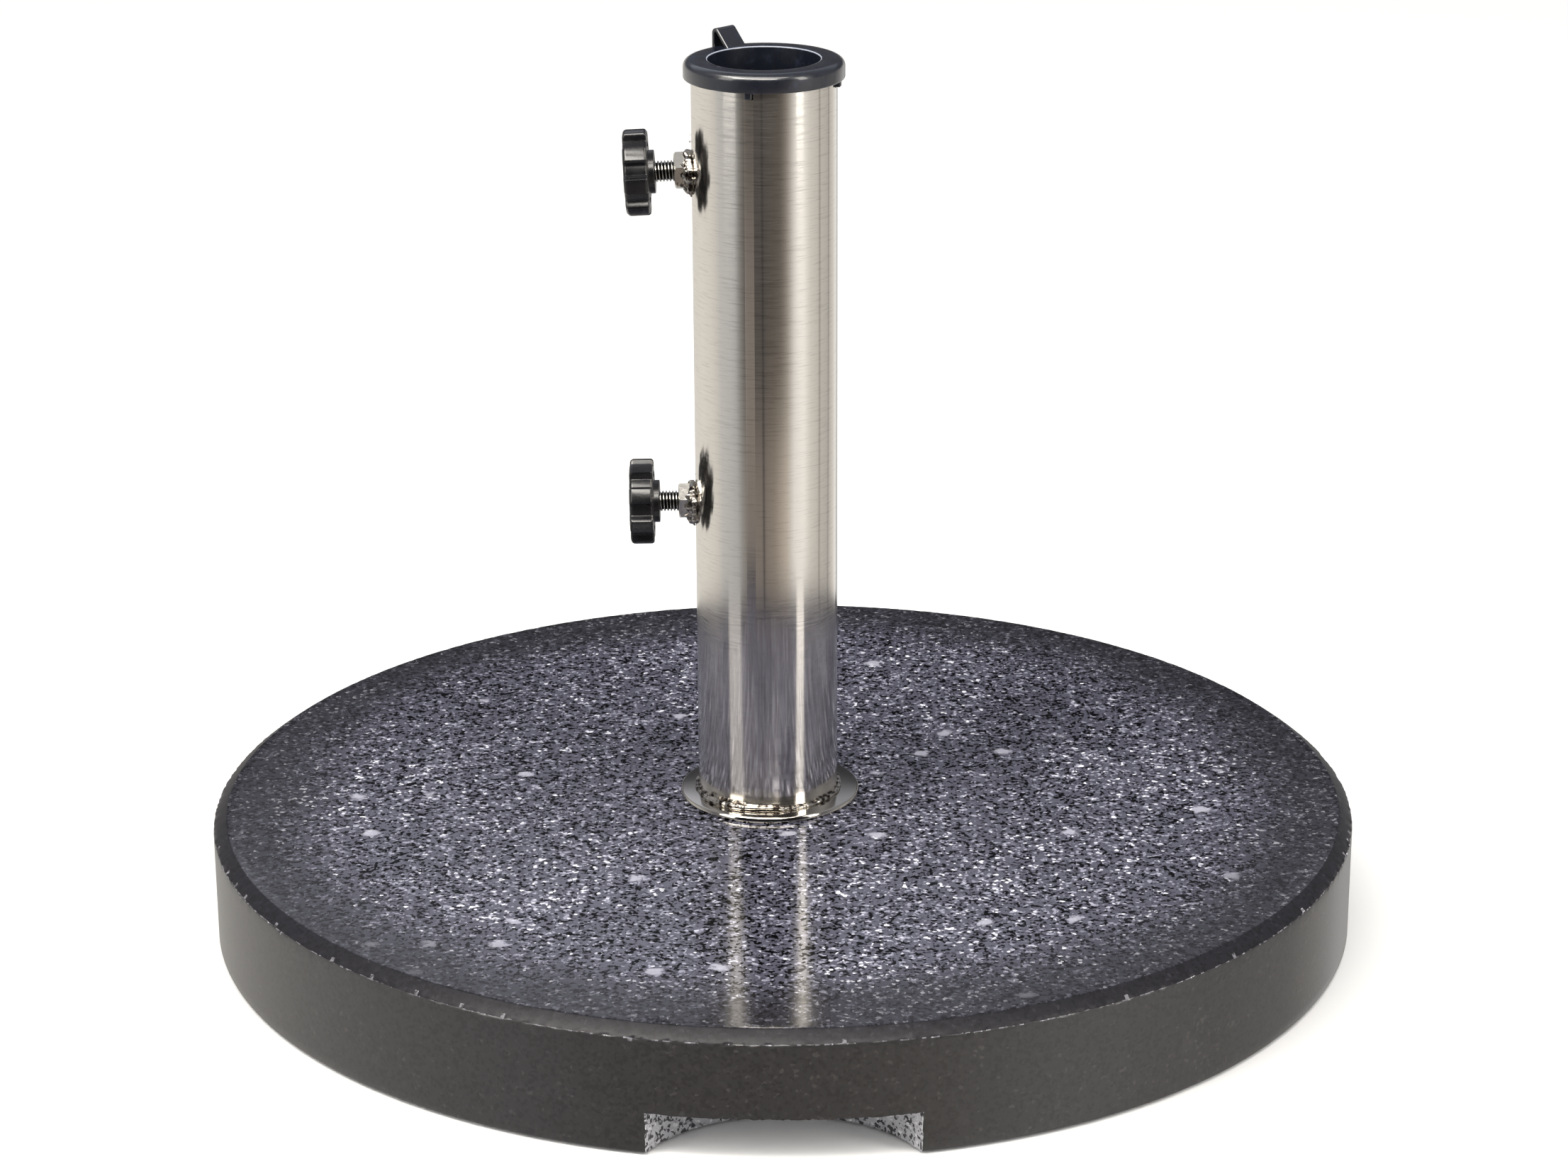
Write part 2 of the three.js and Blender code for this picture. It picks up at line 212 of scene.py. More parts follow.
def loft(
    rings: Sequence[Ring],
    closed: bool = False,
    zones: Sequence[int] | None = None,
) -> bpy.types.Mesh:
    """Skins rings of equal length, with a UV map that wraps once round them.

    Args:
        rings: the rings in order, each wound anticlockwise about the way they advance on the
            outside; a ring of one point is a pole.
        closed: whether the last ring joins the first.
        zones: the material index of each band between rings.
    Returns:
        The mesh, with its sizes in metres.
    """
    verts = [point * MM for ring in rings for point in ring]
    starts = [sum(len(ring) for ring in rings[:i]) for i in range(len(rings))]
    count = max(len(ring) for ring in rings)
    bands = len(rings) if closed else len(rings) - 1
    faces: list[tuple[int, ...]] = []
    uvs: list[Point2] = []
    materials: list[int] = []
    for j in range(bands):
        low, high = j, (j + 1) % len(rings)
        for i in range(count):
            k = (i + 1) % count
            corners = []
            for ring, column, u in ((low, i, i), (low, k, i + 1), (high, k, i + 1), (high, i, i)):
                pole = len(rings[ring]) == 1
                index = starts[ring] + (0 if pole else column)
                if index not in [c[0] for c in corners]:
                    corners.append((index, (u / count, (j if ring == low else j + 1) / bands)))
            if len(corners) > 2:
                faces.append(tuple(c[0] for c in corners))
                uvs.extend(c[1] for c in corners)
                materials.append(zones[j] if zones else 0)
    mesh = bpy.data.meshes.new("loft")
    mesh.from_pydata(verts, [], faces)
    layer = mesh.uv_layers.new(name=WRAP_UV)
    layer.data.foreach_set("uv", [value for uv in uvs for value in uv])
    mesh.polygons.foreach_set("material_index", materials)
    mesh.polygons.foreach_set("use_smooth", [True] * len(faces))
    mesh.update()
    return mesh


def turned(
    outline: Sequence[Point2],
    count: int,
    closed: bool = False,
    zones: Sequence[int] | None = None,
) -> bpy.types.Mesh:
    """Turns an outline of radius and height about +Z; it runs upwards on its outside."""
    rings = [circle_ring(r, z, count) for r, z in outline]
    return loft(rings, closed=closed, zones=zones)


def pushed(outline: Sequence[Point2], low: float, high: float, bevel: float) -> bpy.types.Mesh:
    """Pushes a closed anticlockwise outline up +Z, with its two rims bevelled."""
    count = len(outline)
    points = [Vector(p) for p in outline]
    inner = []
    for i, point in enumerate(points):
        along = (points[(i + 1) % count] - points[i - 1]).normalized()
        inner.append(point + Vector((-along.y, along.x)) * bevel)
    levels = ((inner, low), (points, low + bevel), (points, high - bevel), (inner, high))
    rings = [[Vector((p.x, p.y, z)) for p in ring] for ring, z in levels]
    mesh = loft(rings)
    capped = [tuple(p.vertices) for p in mesh.polygons]
    capped.append(tuple(range(count - 1, -1, -1)))
    capped.append(tuple(range(3 * count, 4 * count)))
    verts = [v.co.copy() for v in mesh.vertices]
    bpy.data.meshes.remove(mesh)
    solid = bpy.data.meshes.new("pushed")
    solid.from_pydata(verts, [], capped)
    solid.uv_layers.new(name=WRAP_UV)
    return solid


def new_object(name: str, data: bpy.types.ID, *materials: bpy.types.Material) -> bpy.types.Object:
    """Links a new object that stands at the origin, with its materials in order."""
    thing = bpy.data.objects.new(name, data)
    bpy.context.scene.collection.objects.link(thing)
    for material in materials:
        data.materials.append(material)
    return thing


def plain_mesh(source: bpy.types.Object) -> bpy.types.Mesh:
    """Evaluates an object's modifiers, removes them and returns the finished mesh."""
    graph = bpy.context.evaluated_depsgraph_get()
    mesh = bpy.data.meshes.new_from_object(source.evaluated_get(graph), depsgraph=graph)
    source.modifiers.clear()
    return mesh


def combine(
    body: bpy.types.Object, others: Iterable[bpy.types.Object], operation: str
) -> bpy.types.Object:
    """Cuts other closed solids from a body, or joins them to it, and removes them."""
    for other in others:
        modifier = body.modifiers.new(operation, "BOOLEAN")
        modifier.operation = operation
        modifier.solver = "EXACT"
        modifier.material_mode = "TRANSFER"
        modifier.object = other
        mesh = plain_mesh(body)
        old, body.data = body.data, mesh
        bpy.data.meshes.remove(old)
        remove_object(other)
    return body


def remove_object(thing: bpy.types.Object) -> None:
    """Deletes an object together with its data."""
    data = thing.data
    bpy.data.objects.remove(thing)
    library = bpy.data.meshes if isinstance(data, bpy.types.Mesh) else bpy.data.curves
    library.remove(data)


def merged(name: str, parts: Sequence[bpy.types.Object]) -> bpy.types.Object:
    """Makes one object of several meshes and gives it a name."""
    with bpy.context.temp_override(
        active_object=parts[0], selected_objects=parts, selected_editable_objects=parts
    ):
        bpy.ops.object.join()
    parts[0].name = name
    return parts[0]


def crisp(thing: bpy.types.Object, degrees: float = 32) -> bpy.types.Object:
    """Shades an object smooth, with sharp edges where faces meet more steeply than this."""
    mesh = thing.data
    mesh.polygons.foreach_set("use_smooth", [True] * len(mesh.polygons))
    mesh.set_sharp_from_angle(angle=math.radians(degrees))
    return thing


def hex_radius(flats: float, angle: float) -> float:
    """Distance from a hexagon's centre to its side, at an angle from one of its corners."""
    from_flat = (angle % (math.pi / 3)) - math.pi / 6
    return flats / 2 / math.cos(from_flat)


def hex_ring(flats: float, face: float, inward: int, count: int) -> Ring:
    """The edge of a hexagon's chamfered face.

    Args:
        flats: width across flats.
        face: height of the flat face.
        inward: -1 for a face that looks up, 1 for one that looks down.
        count: points in the ring.
    Returns:
        A ring that dips towards each corner, as a 30 degree chamfer leaves it.
    """
    slope = math.tan(math.radians(30))
    ring = []
    for i in range(count):
        angle = 2 * math.pi * i / count
        radius = hex_radius(flats, angle)
        dip = (radius - 0.475 * flats) * slope
        z = face + inward * dip
        ring.append(Vector((radius * math.cos(angle), radius * math.sin(angle), z)))
    return ring


def hex_body(flats: float, low: float, high: float, bore: float = 0.0) -> bpy.types.Mesh:
    """A chamfered hexagonal nut, or a bolt head where the bore is nothing."""
    count = 96
    land = 0.475 * flats
    rings = [circle_ring(land, low, count), hex_ring(flats, low, 1, count),
             hex_ring(flats, high, -1, count), circle_ring(land, high, count)]
    if not bore:
        rings = [circle_ring(0, low, count), *rings, circle_ring(0, high, count)]
        return loft(rings)
    sink = 0.6
    rings = [circle_ring(bore + sink, low, count), *rings, circle_ring(bore + sink, high, count),
             circle_ring(bore, high - sink, count), circle_ring(bore, low + sink, count)]
    return loft(rings, closed=True)


# ---------------------------------------------------------------- geometry node trees


class Socket(Enum):
    """Kinds of named input that a geometry tree takes."""

    NUMBER = "NodeSocketFloat"
    WHOLE = "NodeSocketInt"
    MATERIAL = "NodeSocketMaterial"


@dataclass
class GeometryTree:
    """A geometry node tree with named inputs, built once and used by several pieces."""

    name: str
    inputs: dict[str, Socket]

    def __post_init__(self) -> None:
        """Makes the empty tree and its group input and output."""
        self.tree = bpy.data.node_groups.new(self.name, "GeometryNodeTree")
        face = self.tree.interface
        face.new_socket("Geometry", in_out="INPUT", socket_type="NodeSocketGeometry")
        for name, kind in self.inputs.items():
            face.new_socket(name, in_out="INPUT", socket_type=kind.value)
        face.new_socket("Geometry", in_out="OUTPUT", socket_type="NodeSocketGeometry")
        self.given = add_node(self.tree, "NodeGroupInput").outputs

    def end(self, geometry: object, selection: object = True) -> None:
        """Realises what the tree made, sets its material and sends it out.

        Args:
            geometry: the node or socket that gives the finished geometry.
            selection: which faces take the tree's material.
        """
        real = add_node(self.tree, "GeometryNodeRealizeInstances", {"Geometry": geometry})
        smooth = add_node(self.tree, "GeometryNodeSetShadeSmooth", {"Geometry": real})
        links = {"Geometry": smooth, "Selection": selection, "Material": self.given["Material"]}
        dressed = add_node(self.tree, "GeometryNodeSetMaterial", links)
        add_node(self.tree, "NodeGroupOutput", {"Geometry": dressed})

    def grow(self, name: str, host: bpy.types.Object, **values: object) -> bpy.types.Object:
        """Runs the tree on a host object and keeps the result as a plain mesh.

        Args:
            name: the new object's name.
            host: the object that the tree starts from; it is removed.
            values: the tree's inputs, with underscores for the spaces in their names.
        Returns:
            The new mesh object.
        """
        modifier = host.modifiers.new(self.name, "NODES")
        modifier.node_group = self.tree
        keys = {item.name: item.identifier for item in self.tree.interface.items_tree
                if item.in_out == "INPUT"}
        for key, value in values.items():
            modifier[keys[key.replace("_", " ")]] = value
        result = new_object(name, plain_mesh(host))
        remove_object(host)
        return result


def thread_tree() -> GeometryTree:
    """A closed screw shank along +Z, whose radius follows a right-hand thread."""
    made = GeometryTree("Screw thread", {
        "Radius": Socket.NUMBER, "Depth": Socket.NUMBER, "Pitch": Socket.NUMBER,
        "Start": Socket.NUMBER, "Length": Socket.NUMBER, "Columns": Socket.WHOLE,
        "Rows": Socket.WHOLE, "Material": Socket.MATERIAL,
    })
    tree, given = made.tree, made.given
    size = {"Size X": 1.0, "Size Y": 1.0, "Vertices X": given["Columns"],
            "Vertices Y": given["Rows"]}
    grid = add_node(tree, "GeometryNodeMeshGrid", size)
    place = add_node(tree, "GeometryNodeInputPosition")
    flat = add_node(tree, "ShaderNodeSeparateXYZ", {0: place})
    turn = add_node(tree, Step.ADD, (flat.outputs["X"], 0.5))
    along = add_node(tree, Step.ADD, (flat.outputs["Y"], 0.5))
    height = add_node(tree, Step.MULTIPLY, (along, given["Length"]))
    phase = add_node(tree, Step.SUBTRACT, (
        add_node(tree, Step.DIVIDE, (height, given["Pitch"])), turn
    ))
    saw = add_node(tree, Step.FRACT, (add_node(tree, Step.ADD, (phase, 100.0)),))
    ridge = add_node(tree, Step.ABSOLUTE, (add_node(tree, Step.MULTIPLY_ADD, (saw, 2.0, -1.0)),))
    groove = add_node(tree, Step.SMOOTH, (ridge, 0.12, 0.9))
    run_in = add_node(tree, Step.MULTIPLY, (
        add_node(tree, Step.SMOOTH, (along, 0.0, 0.04)),
        add_node(tree, Step.SMOOTH, (add_node(tree, Step.SUBTRACT, (1.0, along)), 0.0, 0.01))
    ))
    cut = add_node(tree, Step.MULTIPLY, (
        given["Depth"],
        add_node(tree, Step.SUBTRACT, (1.0, add_node(tree, Step.MULTIPLY, (groove, run_in))))
    ))
    radius = add_node(tree, Step.SUBTRACT, (given["Radius"], cut))
    # The first and last rows shrink to a point, which closes both ends.
    inside = add_node(tree, Step.LESS_THAN, (
        add_node(tree, Step.ABSOLUTE, (flat.outputs["Y"],)), 0.4999
    ))
    radius = add_node(tree, Step.MULTIPLY, (radius, inside))
    angle = add_node(tree, Step.MULTIPLY, (turn, 2 * math.pi))
    x = add_node(tree, Step.MULTIPLY, (radius, add_node(tree, Step.COSINE, (angle,))))
    y = add_node(tree, Step.MULTIPLY, (radius, add_node(tree, Step.SINE, (angle,))))
    z = add_node(tree, Step.ADD, (height, given["Start"]))
    point = add_node(tree, "ShaderNodeCombineXYZ", {"X": x, "Y": y, "Z": z})
    marked = add_node(
        tree, "GeometryNodeStoreNamedAttribute",
        {
            "Geometry": grid.outputs["Mesh"], "Name": ROOT_ATTRIBUTE,
            "Value": add_node(tree, Step.SUBTRACT, (1.0, groove))
        },
        data_type="FLOAT"
    )
    wound = add_node(tree, "GeometryNodeSetPosition", {"Geometry": marked, "Position": point})
    seam = add_node(tree, "GeometryNodeMergeByDistance", {"Geometry": wound, "Distance": 1e-06})
    made.end(seam)
    return made


def lobe_tree() -> GeometryTree:
    """Presses finger valleys into the rim of a turned knob, at an even pitch round +Z."""
    made = GeometryTree("Grip lobes", {
        "Lobes": Socket.NUMBER, "Depth": Socket.NUMBER, "Core Radius": Socket.NUMBER,
        "Rim Radius": Socket.NUMBER, "Material": Socket.MATERIAL,
    })
    tree, given = made.tree, made.given
    place = add_node(tree, "GeometryNodeInputPosition")
    part = add_node(tree, "ShaderNodeSeparateXYZ", {0: place})
    x, y = part.outputs["X"], part.outputs["Y"]
    squares = add_node(tree, Step.MULTIPLY_ADD, (x, x, add_node(tree, Step.MULTIPLY, (y, y))))
    radius = add_node(tree, Step.SQRT, (squares,))
    turns = add_node(tree, Step.DIVIDE, (add_node(tree, Step.ARCTAN2, (y, x)), 2 * math.pi))
    pitch = add_node(tree, Step.FRACT, (
        add_node(tree, Step.MULTIPLY_ADD, (turns, given["Lobes"], 100.5)),
    ))
    off_lobe = add_node(tree, Step.ABSOLUTE, (add_node(tree, Step.SUBTRACT, (pitch, 0.5)),))
    valley = add_node(tree, Step.SMOOTH, (off_lobe, 0.2, 0.345))
    spread = add_node(tree, Step.SUBTRACT, (given["Rim Radius"], given["Core Radius"]))
    out = add_node(tree, Step.DIVIDE, (
        add_node(tree, Step.SUBTRACT, (radius, given["Core Radius"])), spread
    ))
    press = add_node(tree, Step.MULTIPLY, (
        add_node(tree, Step.MULTIPLY, (given["Depth"], valley)),
        add_node(tree, Step.SMOOTH, (out, 0.0, 1.0))
    ))
    share = add_node(tree, Step.DIVIDE, (
        add_node(tree, Step.SUBTRACT, (radius, press)),
        add_node(tree, Step.MAXIMUM, (radius, 1e-06))
    ))
    links = {
        "X": add_node(tree, Step.MULTIPLY, (x, share)),
        "Y": add_node(tree, Step.MULTIPLY, (y, share)), "Z": part.outputs["Z"]
    }
    point = add_node(tree, "ShaderNodeCombineXYZ", links)
    moved = add_node(tree, "GeometryNodeSetPosition", {
        "Geometry": given["Geometry"], "Position": point
    })
    made.end(moved)
    return made


def bead_tree() -> GeometryTree:
    """Lays a rippled, lumpy weld bead along a curve."""
    made = GeometryTree("Weld bead", {
        "Radius": Socket.NUMBER, "Ripple Pitch": Socket.NUMBER, "Ripple": Socket.NUMBER,
        "Lumpiness": Socket.NUMBER, "Lump Size": Socket.NUMBER, "Taper": Socket.NUMBER,
        "Seed": Socket.NUMBER, "Points": Socket.WHOLE, "Material": Socket.MATERIAL,
    })
    tree, given = made.tree, made.given
    path = add_node(tree, "GeometryNodeResampleCurve",
                    {"Curve": given["Geometry"], "Count": given["Points"]})
    spline = add_node(tree, "GeometryNodeSplineParameter").outputs
    run, share_run = spline["Length"], spline["Factor"]
    place = add_node(tree, "GeometryNodeInputPosition")
    wave = add_node(tree, Step.MULTIPLY, (
        add_node(tree, Step.DIVIDE, (run, given["Ripple Pitch"])), 2 * math.pi
    ))
    ripple = add_node(tree, Step.MULTIPLY, (add_node(tree, Step.SINE, (wave,)), given["Ripple"]))
    fine = add_node(tree, Step.DIVIDE, (1.0, given["Lump Size"]))
    lumps = add_node(tree, "ShaderNodeTexNoise",
                     {"Vector": place, "W": given["Seed"], "Scale": fine, "Detail": 2.0},
                     noise_dimensions="4D")
    lump = add_node(tree, Step.MULTIPLY, (
        add_node(tree, Step.MULTIPLY_ADD, (lumps, 2.0, -1.0)), given["Lumpiness"]
    ))
    share = add_node(tree, Step.ADD, (add_node(tree, Step.ADD, (ripple, lump)), 1.0))
    thin = add_node(tree, Step.MULTIPLY, (
        add_node(tree, Step.POWER, (share_run, 2.0)), given["Taper"]
    ))
    share = add_node(tree, Step.SUBTRACT, (share, thin))
    section = add_node(tree, "GeometryNodeCurvePrimitiveCircle",
                       {"Resolution": 16, "Radius": given["Radius"]})
    bead = add_node(tree, "GeometryNodeCurveToMesh", {
        "Curve": path, "Profile Curve": section,
        "Scale": add_node(tree, Step.MAXIMUM, (share, 0.25)), "Fill Caps": True
    })
    finer = add_node(tree, Step.MULTIPLY, (fine, 1.9))
    push = add_node(tree, "ShaderNodeTexNoise",
                    {"Vector": place, "W": given["Seed"], "Scale": finer, "Detail": 1.5},
                    noise_dimensions="4D")
    level = add_node(tree, Step.SUBTRACT, (push, 0.5))
    amount = add_node(tree, Step.MULTIPLY, (
        level, add_node(tree, Step.MULTIPLY, (given["Radius"], 1.1))
    ))
    normal = add_node(tree, "GeometryNodeInputNormal")
    offset = add_node(tree, "ShaderNodeVectorMath", {0: normal, "Scale": amount}, operation="SCALE")
    rough = add_node(tree, "GeometryNodeSetPosition", {"Geometry": bead, "Offset": offset})
    made.end(rough)
    return made


def spatter_tree() -> GeometryTree:
    """Scatters small frozen metal drops over a patch of surface."""
    made = GeometryTree("Weld spatter", {
        "Density": Socket.NUMBER, "Largest": Socket.NUMBER, "Seed": Socket.WHOLE,
        "Material": Socket.MATERIAL,
    })
    tree, given = made.tree, made.given
    points = add_node(tree, "GeometryNodeDistributePointsOnFaces",
                      {"Mesh": given["Geometry"], "Density": given["Density"],
                       "Seed": given["Seed"]})
    drop = add_node(tree, "GeometryNodeMeshIcoSphere", {"Radius": 1.0, "Subdivisions": 2})
    least = add_node(tree, Step.MULTIPLY, (given["Largest"], 0.25))
    size = add_node(tree, "FunctionNodeRandomValue",
                    {2: least, 3: given["Largest"], "Seed": given["Seed"]}, data_type="FLOAT")
    drops = add_node(tree, "GeometryNodeInstanceOnPoints",
                     {"Points": points.outputs["Points"], "Instance": drop.outputs["Mesh"],
                      "Rotation": points.outputs["Rotation"], "Scale": size.outputs[1]})
    made.end(drops)
    return made


def relief_tree() -> GeometryTree:
    """Breaks a stone surface back by its "relief" attribute, and bares the stone where it's deep."""
    made = GeometryTree("Stone relief", {
        "Grain": Socket.NUMBER, "Chip Share": Socket.NUMBER, "Bare Depth": Socket.NUMBER,
        "Seed": Socket.NUMBER, "Material": Socket.MATERIAL,
    })
    tree, given = made.tree, made.given
    depth = add_node(tree, "GeometryNodeInputNamedAttribute", {"Name": RELIEF_ATTRIBUTE},
                     data_type="FLOAT").outputs["Attribute"]
    place = add_node(tree, "GeometryNodeInputPosition")
    scale = add_node(tree, Step.DIVIDE, (1.0, given["Grain"]))
    chips = add_node(tree, "ShaderNodeTexNoise", {
        "Vector": place, "W": given["Seed"], "Scale": scale, "Detail": 4.0, "Roughness": 0.62
    }, noise_dimensions="4D")
    chipped = add_node(tree, "ShaderNodeMapRange", (chips, given["Chip Share"], 0.75))
    broken = add_node(tree, Step.MULTIPLY, (chipped, depth))
    inwards = add_node(tree, Step.MULTIPLY, (broken, -1.0))
    normal = add_node(tree, "GeometryNodeInputNormal").outputs[0]
    offset = add_node(tree, "ShaderNodeVectorMath", {0: normal, "Scale": inwards},
                      operation="SCALE")
    # Faces are picked before they move, so both steps see the same pattern.
    bare = add_node(tree, Step.GREATER_THAN, (broken, given["Bare Depth"]))
    kept = add_node(tree, "GeometryNodeStoreNamedAttribute", {
        "Geometry": given["Geometry"], "Name": BARE_ATTRIBUTE, "Value": bare
    }, data_type="BOOLEAN", domain="FACE")
    moved = add_node(tree, "GeometryNodeSetPosition", {"Geometry": kept, "Offset": offset})
    picked = add_node(tree, "GeometryNodeInputNamedAttribute", {"Name": BARE_ATTRIBUTE},
                      data_type="BOOLEAN").outputs["Attribute"]
    made.end(moved, picked)
    return made


# ---------------------------------------------------------------- finishes


def blank_material(name: str) -> tuple[bpy.types.Material, bpy.types.NodeTree]:
    """Makes a material with an empty node tree."""
    material = bpy.data.materials.new(name)
    material.use_nodes = True
    material.node_tree.nodes.clear()
    return material, material.node_tree


def finish_shader(tree: bpy.types.NodeTree, links: dict[str | int, object]) -> None:
    """Adds the surface shader with these inputs and connects it."""
    shader = add_node(tree, "ShaderNodeBsdfPrincipled", links)
    add_node(tree, "ShaderNodeOutputMaterial", {"Surface": shader})


@dataclass(frozen=True)
class Granite:
    """Fine-grained dark granite. The same crystals show through every way it was worked.

    The eye gets a dense salt and pepper of 1 mm crystals on blue-grey, with a few pale blotches.
    """

    name: str
    shades: tuple[str, str, str, str, str]  # mica, ground, mid, feldspar, quartz spark
    roughness: float
    contrast: float = 1.0  # how far the crystals stand out from the mean shade
    pit_depth: float = 0.0
    coat: float = 0.0
    gloss: float = 0.5
    gleam: float = 0.0  # how far the sheen differs from crystal to crystal
    crystal: float = 1.25
    blotch: float = 21.0
    cloud: float = 70.0
    rim_from: float = 0.0  # beyond this radius the face is painted darker, as shade towards the rim
    rim_to: float = 0.0
    rim_shade: str = ""

    def build(self) -> bpy.types.Material:
        """Makes the material."""
        material, tree = blank_material(self.name)
        place = add_node(tree, "ShaderNodeTexCoord").outputs["Object"]
        mica, ground, mid, feldspar, spark = self.shades
        wobble = add_node(tree, "ShaderNodeTexNoise",
                          {"Vector": place, "Scale": 1 / (0.9 * MM), "Detail": 2.0})
        bent = add_node(
            tree, "ShaderNodeVectorMath",
            {0: wobble.outputs["Color"], 1: (0.8 * MM,) * 3, 2: place}, operation="MULTIPLY_ADD"
        )
        grains = add_node(tree, "ShaderNodeTexVoronoi",
                          {"Vector": bent, "Scale": 1 / (self.crystal * MM)})
        fine = add_node(tree, "ShaderNodeSeparateColor", {0: grains.outputs["Color"]})
        # Crystals of a kind grow in clumps, which keeps the grain visible from a distance.
        clumps = add_node(tree, "ShaderNodeTexVoronoi",
                          {"Vector": bent, "Scale": 1 / (2.1 * self.crystal * MM)})
        clump = add_node(tree, "ShaderNodeSeparateColor", {0: clumps.outputs["Color"]})
        pick = add_node(tree, Step.MULTIPLY_ADD, (
            clump, 0.25, add_node(tree, Step.MULTIPLY, (fine, 0.75))
        ))
        clouds = add_node(tree, "ShaderNodeTexNoise",
                          {"Vector": place, "Scale": 1 / (self.cloud * MM), "Detail": 3.0})
        drift = add_node(tree, Step.MULTIPLY_ADD, (clouds, 0.3, -0.15))
        shade = add_node(
            tree, "ShaderNodeValToRGB", {0: add_node(tree, Step.ADD, (pick, drift))},
            stops=[
                (0.0, mica), (0.29, mica), (0.33, ground), (0.45, mid), (0.76, mid),
                (0.83, feldspar), (0.905, feldspar), (0.965, spark)
            ]
        )
        even = add_node(tree, Step.MIX, {0: 1 - self.contrast, 6: shade, 7: linear(mid)})
        # A few large pale feldspars: cells picked at random, with a broken outline.
        big = add_node(tree, "ShaderNodeTexVoronoi",
                       {"Vector": bent, "Scale": 1 / (self.blotch * MM)})
        chance = add_node(tree, "ShaderNodeSeparateColor", {0: big.outputs["Color"]}).outputs[1]
        rare = add_node(tree, Step.GREATER_THAN, (chance, 0.72))
        torn = add_node(tree, "ShaderNodeTexNoise", {
            "Vector": place, "Scale": 1 / (4 * MM), "Detail": 4.0, "Roughness": 0.7
        })
        edge = add_node(tree, Step.MULTIPLY_ADD, (torn, 0.45, big.outputs["Distance"]))
        spot = add_node(tree, Step.SUBTRACT, (
            1.0, add_node(tree, Step.SMOOTH, (edge, 0.32, 0.42))
        ))
        pale = add_node(tree, Step.MULTIPLY, (
            add_node(tree, Step.MULTIPLY, (spot, rare)), 0.8 * self.contrast
        ))
        flake = add_node(tree, Step.MIX, {
            0: add_node(tree, Step.MULTIPLY, (torn, 0.45)), 6: linear(feldspar), 7: linear(spark)
        })
        colour = add_node(tree, Step.MIX, {0: pale, 6: even, 7: flake})
        # Painted shade: towards the rim the face darkens to rim_shade and its grain fades.
        if self.rim_shade:
            flat = add_node(
                tree, "ShaderNodeVectorMath", {0: place, 1: (1.0, 1.0, 0.0)}, operation="MULTIPLY"
            )
            out = add_node(tree, "ShaderNodeVectorMath", {0: flat}, operation="LENGTH").outputs[1]
            ragged = add_node(tree, Step.MULTIPLY_ADD, (clouds, 50 * MM, out))
            reach = add_node(tree, Step.SMOOTH, (
                ragged, (self.rim_from + 25) * MM, (self.rim_to + 25) * MM
            ))
            rim_shading = add_node(tree, Step.MULTIPLY, (reach, 0.8))
            colour = add_node(tree, Step.MIX, {0: rim_shading, 6: colour, 7: linear(self.rim_shade)})
        # Mica takes a poorer polish than feldspar, so the sheen is grainy too.
        polish = add_node(tree, Step.SMOOTH, (pick, 0.27, 0.36))
        if self.rim_shade:
            polish = add_node(tree, Step.MAXIMUM, (polish, rim_shading))
            polish = add_node(tree, Step.MULTIPLY_ADD, (reach, -0.3, polish))
        gloss = add_node(tree, Step.MULTIPLY_ADD, (
            polish, 0.55 * self.gleam, self.gloss * (1 - 0.9 * self.gleam)
        ))
        links = {"Base Color": colour, "Roughness": self.roughness, "IOR": 1.52,
                 "Specular IOR Level": gloss,
                 "Coat Weight": self.coat, "Coat Roughness": self.roughness * 0.5}
        if self.pit_depth:
            pits = add_node(tree, "ShaderNodeTexNoise",
                            {"Vector": place, "Scale": 1 / (1.6 * MM), "Detail": 4.0,
                             "Roughness": 0.65})
            links["Normal"] = add_node(tree, "ShaderNodeBump", {
                "Height": pits, "Distance": self.pit_depth * MM
            })
        finish_shader(tree, links)
        return material


